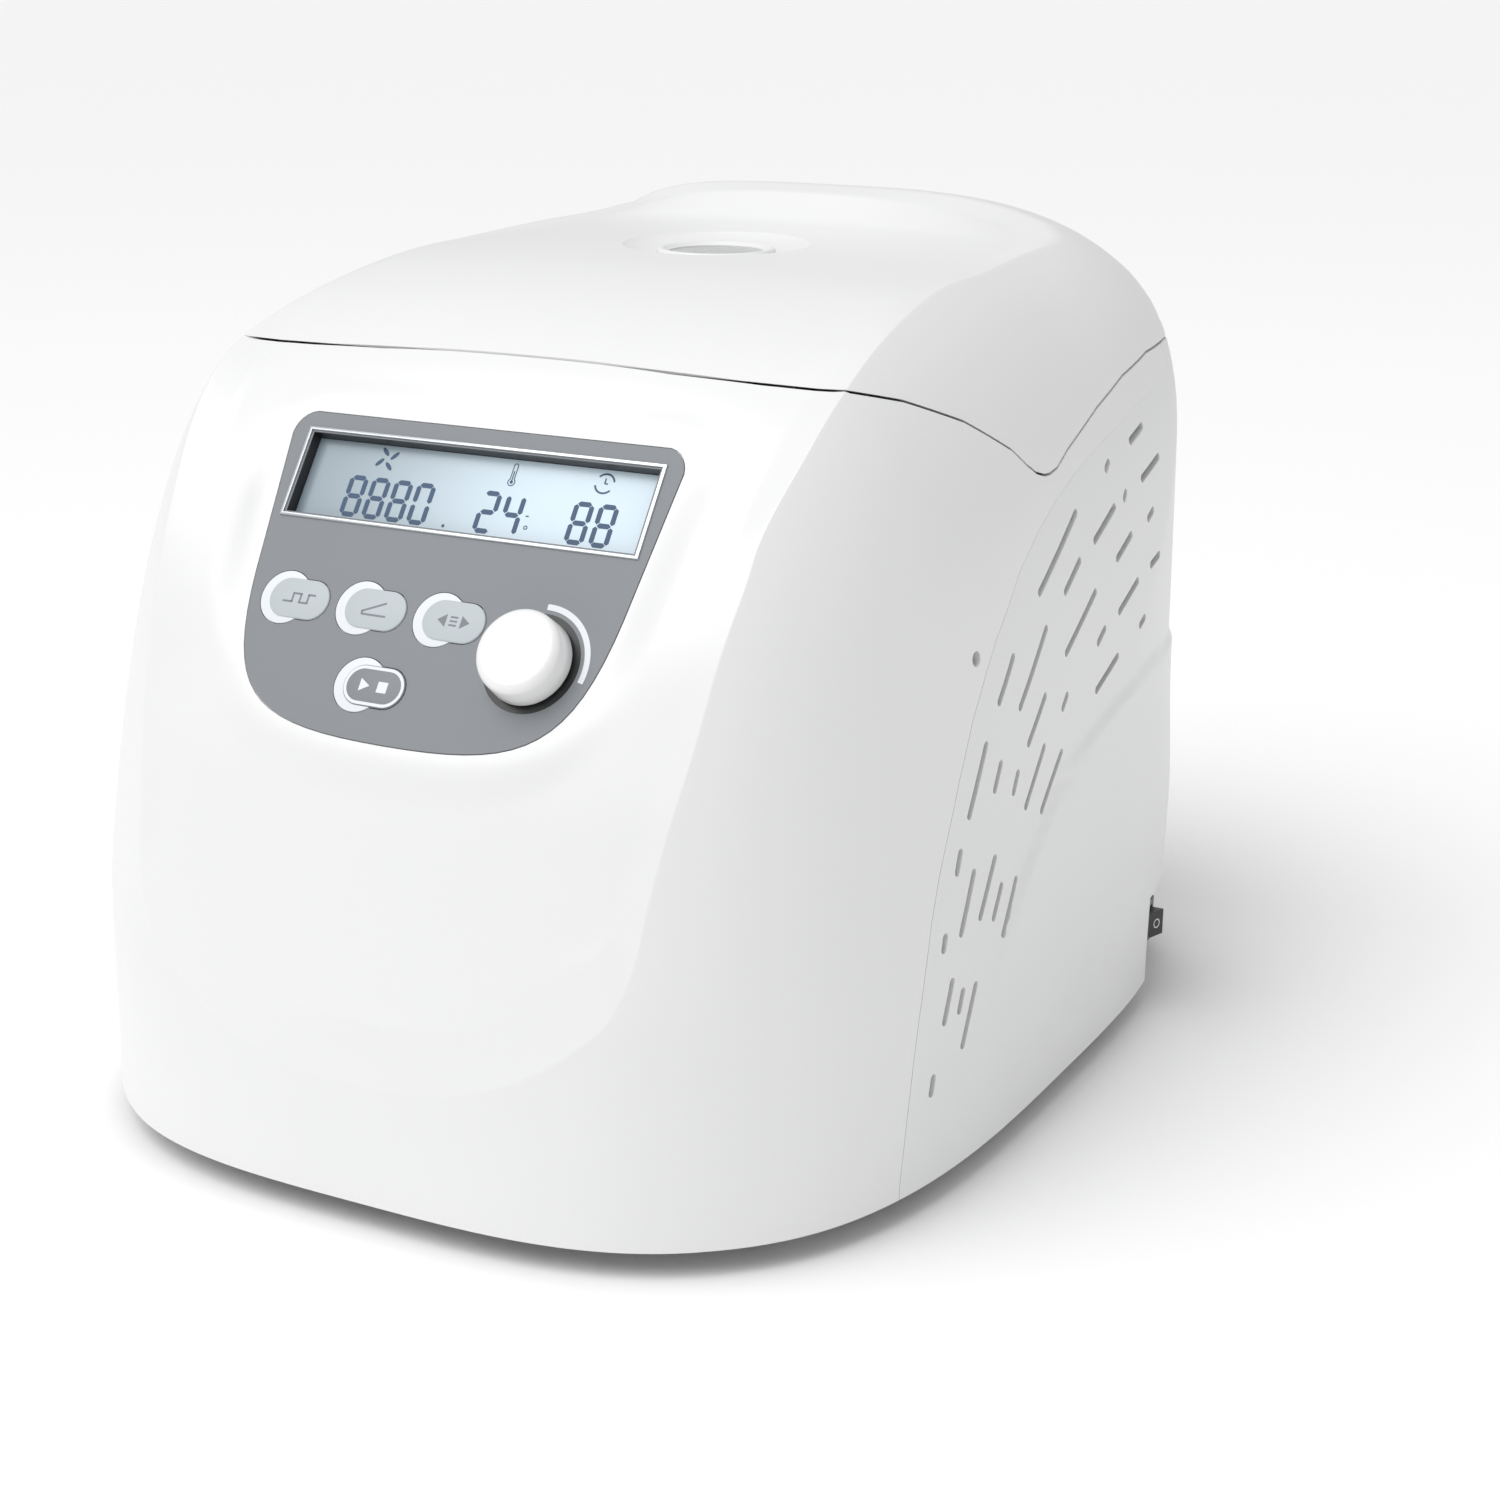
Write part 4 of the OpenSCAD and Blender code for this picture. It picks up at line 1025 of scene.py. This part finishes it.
class CENTRIFUGE_OT_dial(bpy.types.Operator):
    """Round dial with a rolled rim and a slightly dished face"""
    bl_idname = "centrifuge.dial"
    bl_label = "Dial"

    def execute(self, context):
        look = context.scene.centrifuge_panel
        r, low = look.dial_width / 2, 1.4
        top = low + look.dial_height
        outline = [(0, low), (r - 1.2, low), (r - 0.5, low + 0.25), (r - 0.25, low + 0.9)]
        outline += [(r - 0.25 - 0.35 * t, low + 0.9 + (look.dial_height - 3.7) * t) for t in (0.5, 1.0)]
        edge = [(r - 0.6 - 2.6 * (1 - math.cos(a)), top - 2.8 + 2.6 * math.sin(a))
                for a in np.linspace(0.15, 1.5, 10)]
        outline += edge + [(r - 5.5, top - 0.12), (r - 8, top - 0.1), (3, top - 0.2), (0, top - 0.22)]
        knob = link(place(lathe(outline, 120), panel_matrix(DIAL)), "dial_cap", "dial",
                    finish_for("dial_white"), crease=50)
        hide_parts("dial_knob")
        return {"FINISHED"}


class CENTRIFUGE_OT_window(bpy.types.Operator):
    """Ring and frosted lens of the lid window"""
    bl_idname = "centrifuge.window"
    bl_label = "Lid window"

    def execute(self, context):
        x, y = WINDOW
        outline = [(15.4, 249.6), (18.9, 249.6), (18.9, 250.5), (18.6, 251.1), (18.0, 251.4), (17.2, 251.4),
                   (16.7, 251.1), (16.2, 250.6), (15.4, 250.2), (15.4, 249.6)]
        ring = link(place(lathe(outline, 120), at(x, y, 0)), "window_bezel", "lid", finish_for("white_shell"),
                    crease=60)
        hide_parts("window_ring")
        lens = lathe([(0, 246.2), (18.7, 246.2), (18.7, 249.5), (15.3, 249.5), (14.8, 249.9), (12, 250.2),
                      (6, 250.4), (0, 250.5)], 96)
        glass = link(place(lens, at(x, y, 0)), "window_glass", "lid", finish_for("frosted_window"),
                     crease=40)
        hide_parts("window_lens")
        return {"FINISHED"}


class CENTRIFUGE_OT_switch(bpy.types.Operator):
    """Printed marks on the mains rocker"""
    bl_idname = "centrifuge.switch"
    bl_label = "Mains switch marks"

    def execute(self, context):
        pivot = Matrix.Translation(Vector((-2, 0, 0)) * MM) @ Matrix.Rotation(math.radians(-9), 4, "Z")
        a, b = Vector((7.4, 7.4)), Vector((5.6, 0))
        face = switch_matrix() @ pivot
        for name, centre, shapes in [("rocker_ring_mark", 3.9, [band(1.5, 0.45, 0, 359.9, steps=40)]),
                                     ("rocker_bar_mark", -3.9, [stroke((0, -1.3), (0, 1.3), 0.5)])]:
            side = math.copysign(1, centre)
            t = abs(centre) / 7.4
            x = b.x + (a.x - b.x) * t
            slope = math.atan2(a.x - b.x, a.y) * side
            turn = Matrix.Translation(Vector((x + 0.01, centre, 0.3)) * MM) @ Matrix.Rotation(-slope, 4, "Z") \
                @ Matrix(((0, 0, 1, 0), (1, 0, 0, 0), (0, 1, 0, 0), (0, 0, 0, 1))) @ Matrix.Scale(MM, 4)
            link(place(plates(shapes, 0, 0.04), face @ turn), name, "mains_rocker", finish_for("switch_mark"))
        return {"FINISHED"}


class CENTRIFUGE_OT_frame_finishes(bpy.types.Operator):
    """Gives every carried part of the frame the finish of its material slot"""
    bl_idname = "centrifuge.frame_finishes"
    bl_label = "Frame finishes"

    def execute(self, context):
        for node in NODES.values():
            slot_name = node.data.materials[0].name.split(".")[0]
            node.data.materials[0] = finish_for(slot_name)
        return {"FINISHED"}


class CENTRIFUGE_OT_stage(bpy.types.Operator):
    """Pale floor, soft light and camera"""
    bl_idname = "centrifuge.stage"
    bl_label = "Stage"

    def execute(self, context):
        look = context.scene.centrifuge_stage
        bm = bmesh.new()
        bmesh.ops.create_grid(bm, x_segments=4, y_segments=4, size=30)
        floor = link(bm, "floor", None)
        paint = bpy.data.materials.new("floor_paint")
        paint.use_nodes = True
        shader = paint.node_tree.nodes["Principled BSDF"]
        shader.inputs["Base Color"].default_value = (*look.floor_colour, 1)
        shader.inputs["Roughness"].default_value = 0.9
        shader.inputs["Specular IOR Level"].default_value = 0.1
        floor.data.materials.append(paint)
        world = bpy.data.worlds.new("soft_fill")
        context.scene.world = world
        world.use_nodes = True
        sky = world.node_tree.nodes["Background"]
        sky.inputs["Color"].default_value = (1, 1, 1, 1)
        sky.inputs["Strength"].default_value = look.sky
        key = bpy.data.lights.new("key", "SUN")
        key.energy, key.angle = look.key_strength, look.key_spread
        top = bpy.data.lights.new("top", "AREA")
        top.shape, top.size, top.energy = "SQUARE", 1.4, look.top_power
        for light, spot in [(key, Vector((-0.65, -1.05, 1.9))), (top, Vector((-0.1, -0.2, 1.8)))]:
            lamp = bpy.data.objects.new(light.name, light)
            context.scene.collection.objects.link(lamp)
            lamp.location = spot
            lamp.rotation_euler = (Vector((0, 0, 0.1)) - spot).to_track_quat("-Z", "Y").to_euler()
        context.scene.view_settings.view_transform = "Standard"
        eye = bpy.data.objects.new("eye", bpy.data.cameras.new("eye"))
        context.scene.collection.objects.link(eye)
        back = Vector((0.4692, -0.8364, 0.2833))
        eye.location = Vector((0.4109, -0.7508, 0.3553))
        eye.rotation_euler = (-back).to_track_quat("-Z", "Y").to_euler()
        eye.data.sensor_width, eye.data.lens = 36, 65.86
        eye.data.shift_x, eye.data.shift_y = 0.072, -0.0213
        context.scene.camera = eye
        return {"FINISHED"}


STEPS = [CENTRIFUGE_OT_frame_finishes, CENTRIFUGE_OT_lid, CENTRIFUGE_OT_front, CENTRIFUGE_OT_rear,
         CENTRIFUGE_OT_panel, CENTRIFUGE_OT_display, CENTRIFUGE_OT_keys, CENTRIFUGE_OT_dial, CENTRIFUGE_OT_window,
         CENTRIFUGE_OT_switch, CENTRIFUGE_OT_stage]
GROUPS = {"centrifuge_housing": CENTRIFUGE_PG_housing, "centrifuge_panel": CENTRIFUGE_PG_panel,
          "centrifuge_stage": CENTRIFUGE_PG_stage}


class CENTRIFUGE_PT_sidebar(bpy.types.Panel):
    """Settings and steps"""
    bl_idname = "CENTRIFUGE_PT_sidebar"
    bl_label = "Laboratory Centrifuge"
    bl_space_type = "VIEW_3D"
    bl_region_type = "UI"
    bl_category = "Centrifuge"

    def draw(self, context):
        for name, group in GROUPS.items():
            box = self.layout.box()
            for key in group.__annotations__:
                box.prop(getattr(context.scene, name), key)
        for step in STEPS:
            self.layout.operator(step.bl_idname)


def register():
    for cls in (*GROUPS.values(), *STEPS, CENTRIFUGE_PT_sidebar):
        bpy.utils.register_class(cls)
    for name, group in GROUPS.items():
        setattr(bpy.types.Scene, name, bpy.props.PointerProperty(type=group))


def unregister():
    for name in GROUPS:
        delattr(bpy.types.Scene, name)
    for cls in (CENTRIFUGE_PT_sidebar, *reversed(STEPS), *GROUPS.values()):
        bpy.utils.unregister_class(cls)


def main():
    register()
    for step in STEPS:
        getattr(bpy.ops.centrifuge, step.bl_idname.split(".")[1])()


if __name__ == "__main__":
    main()
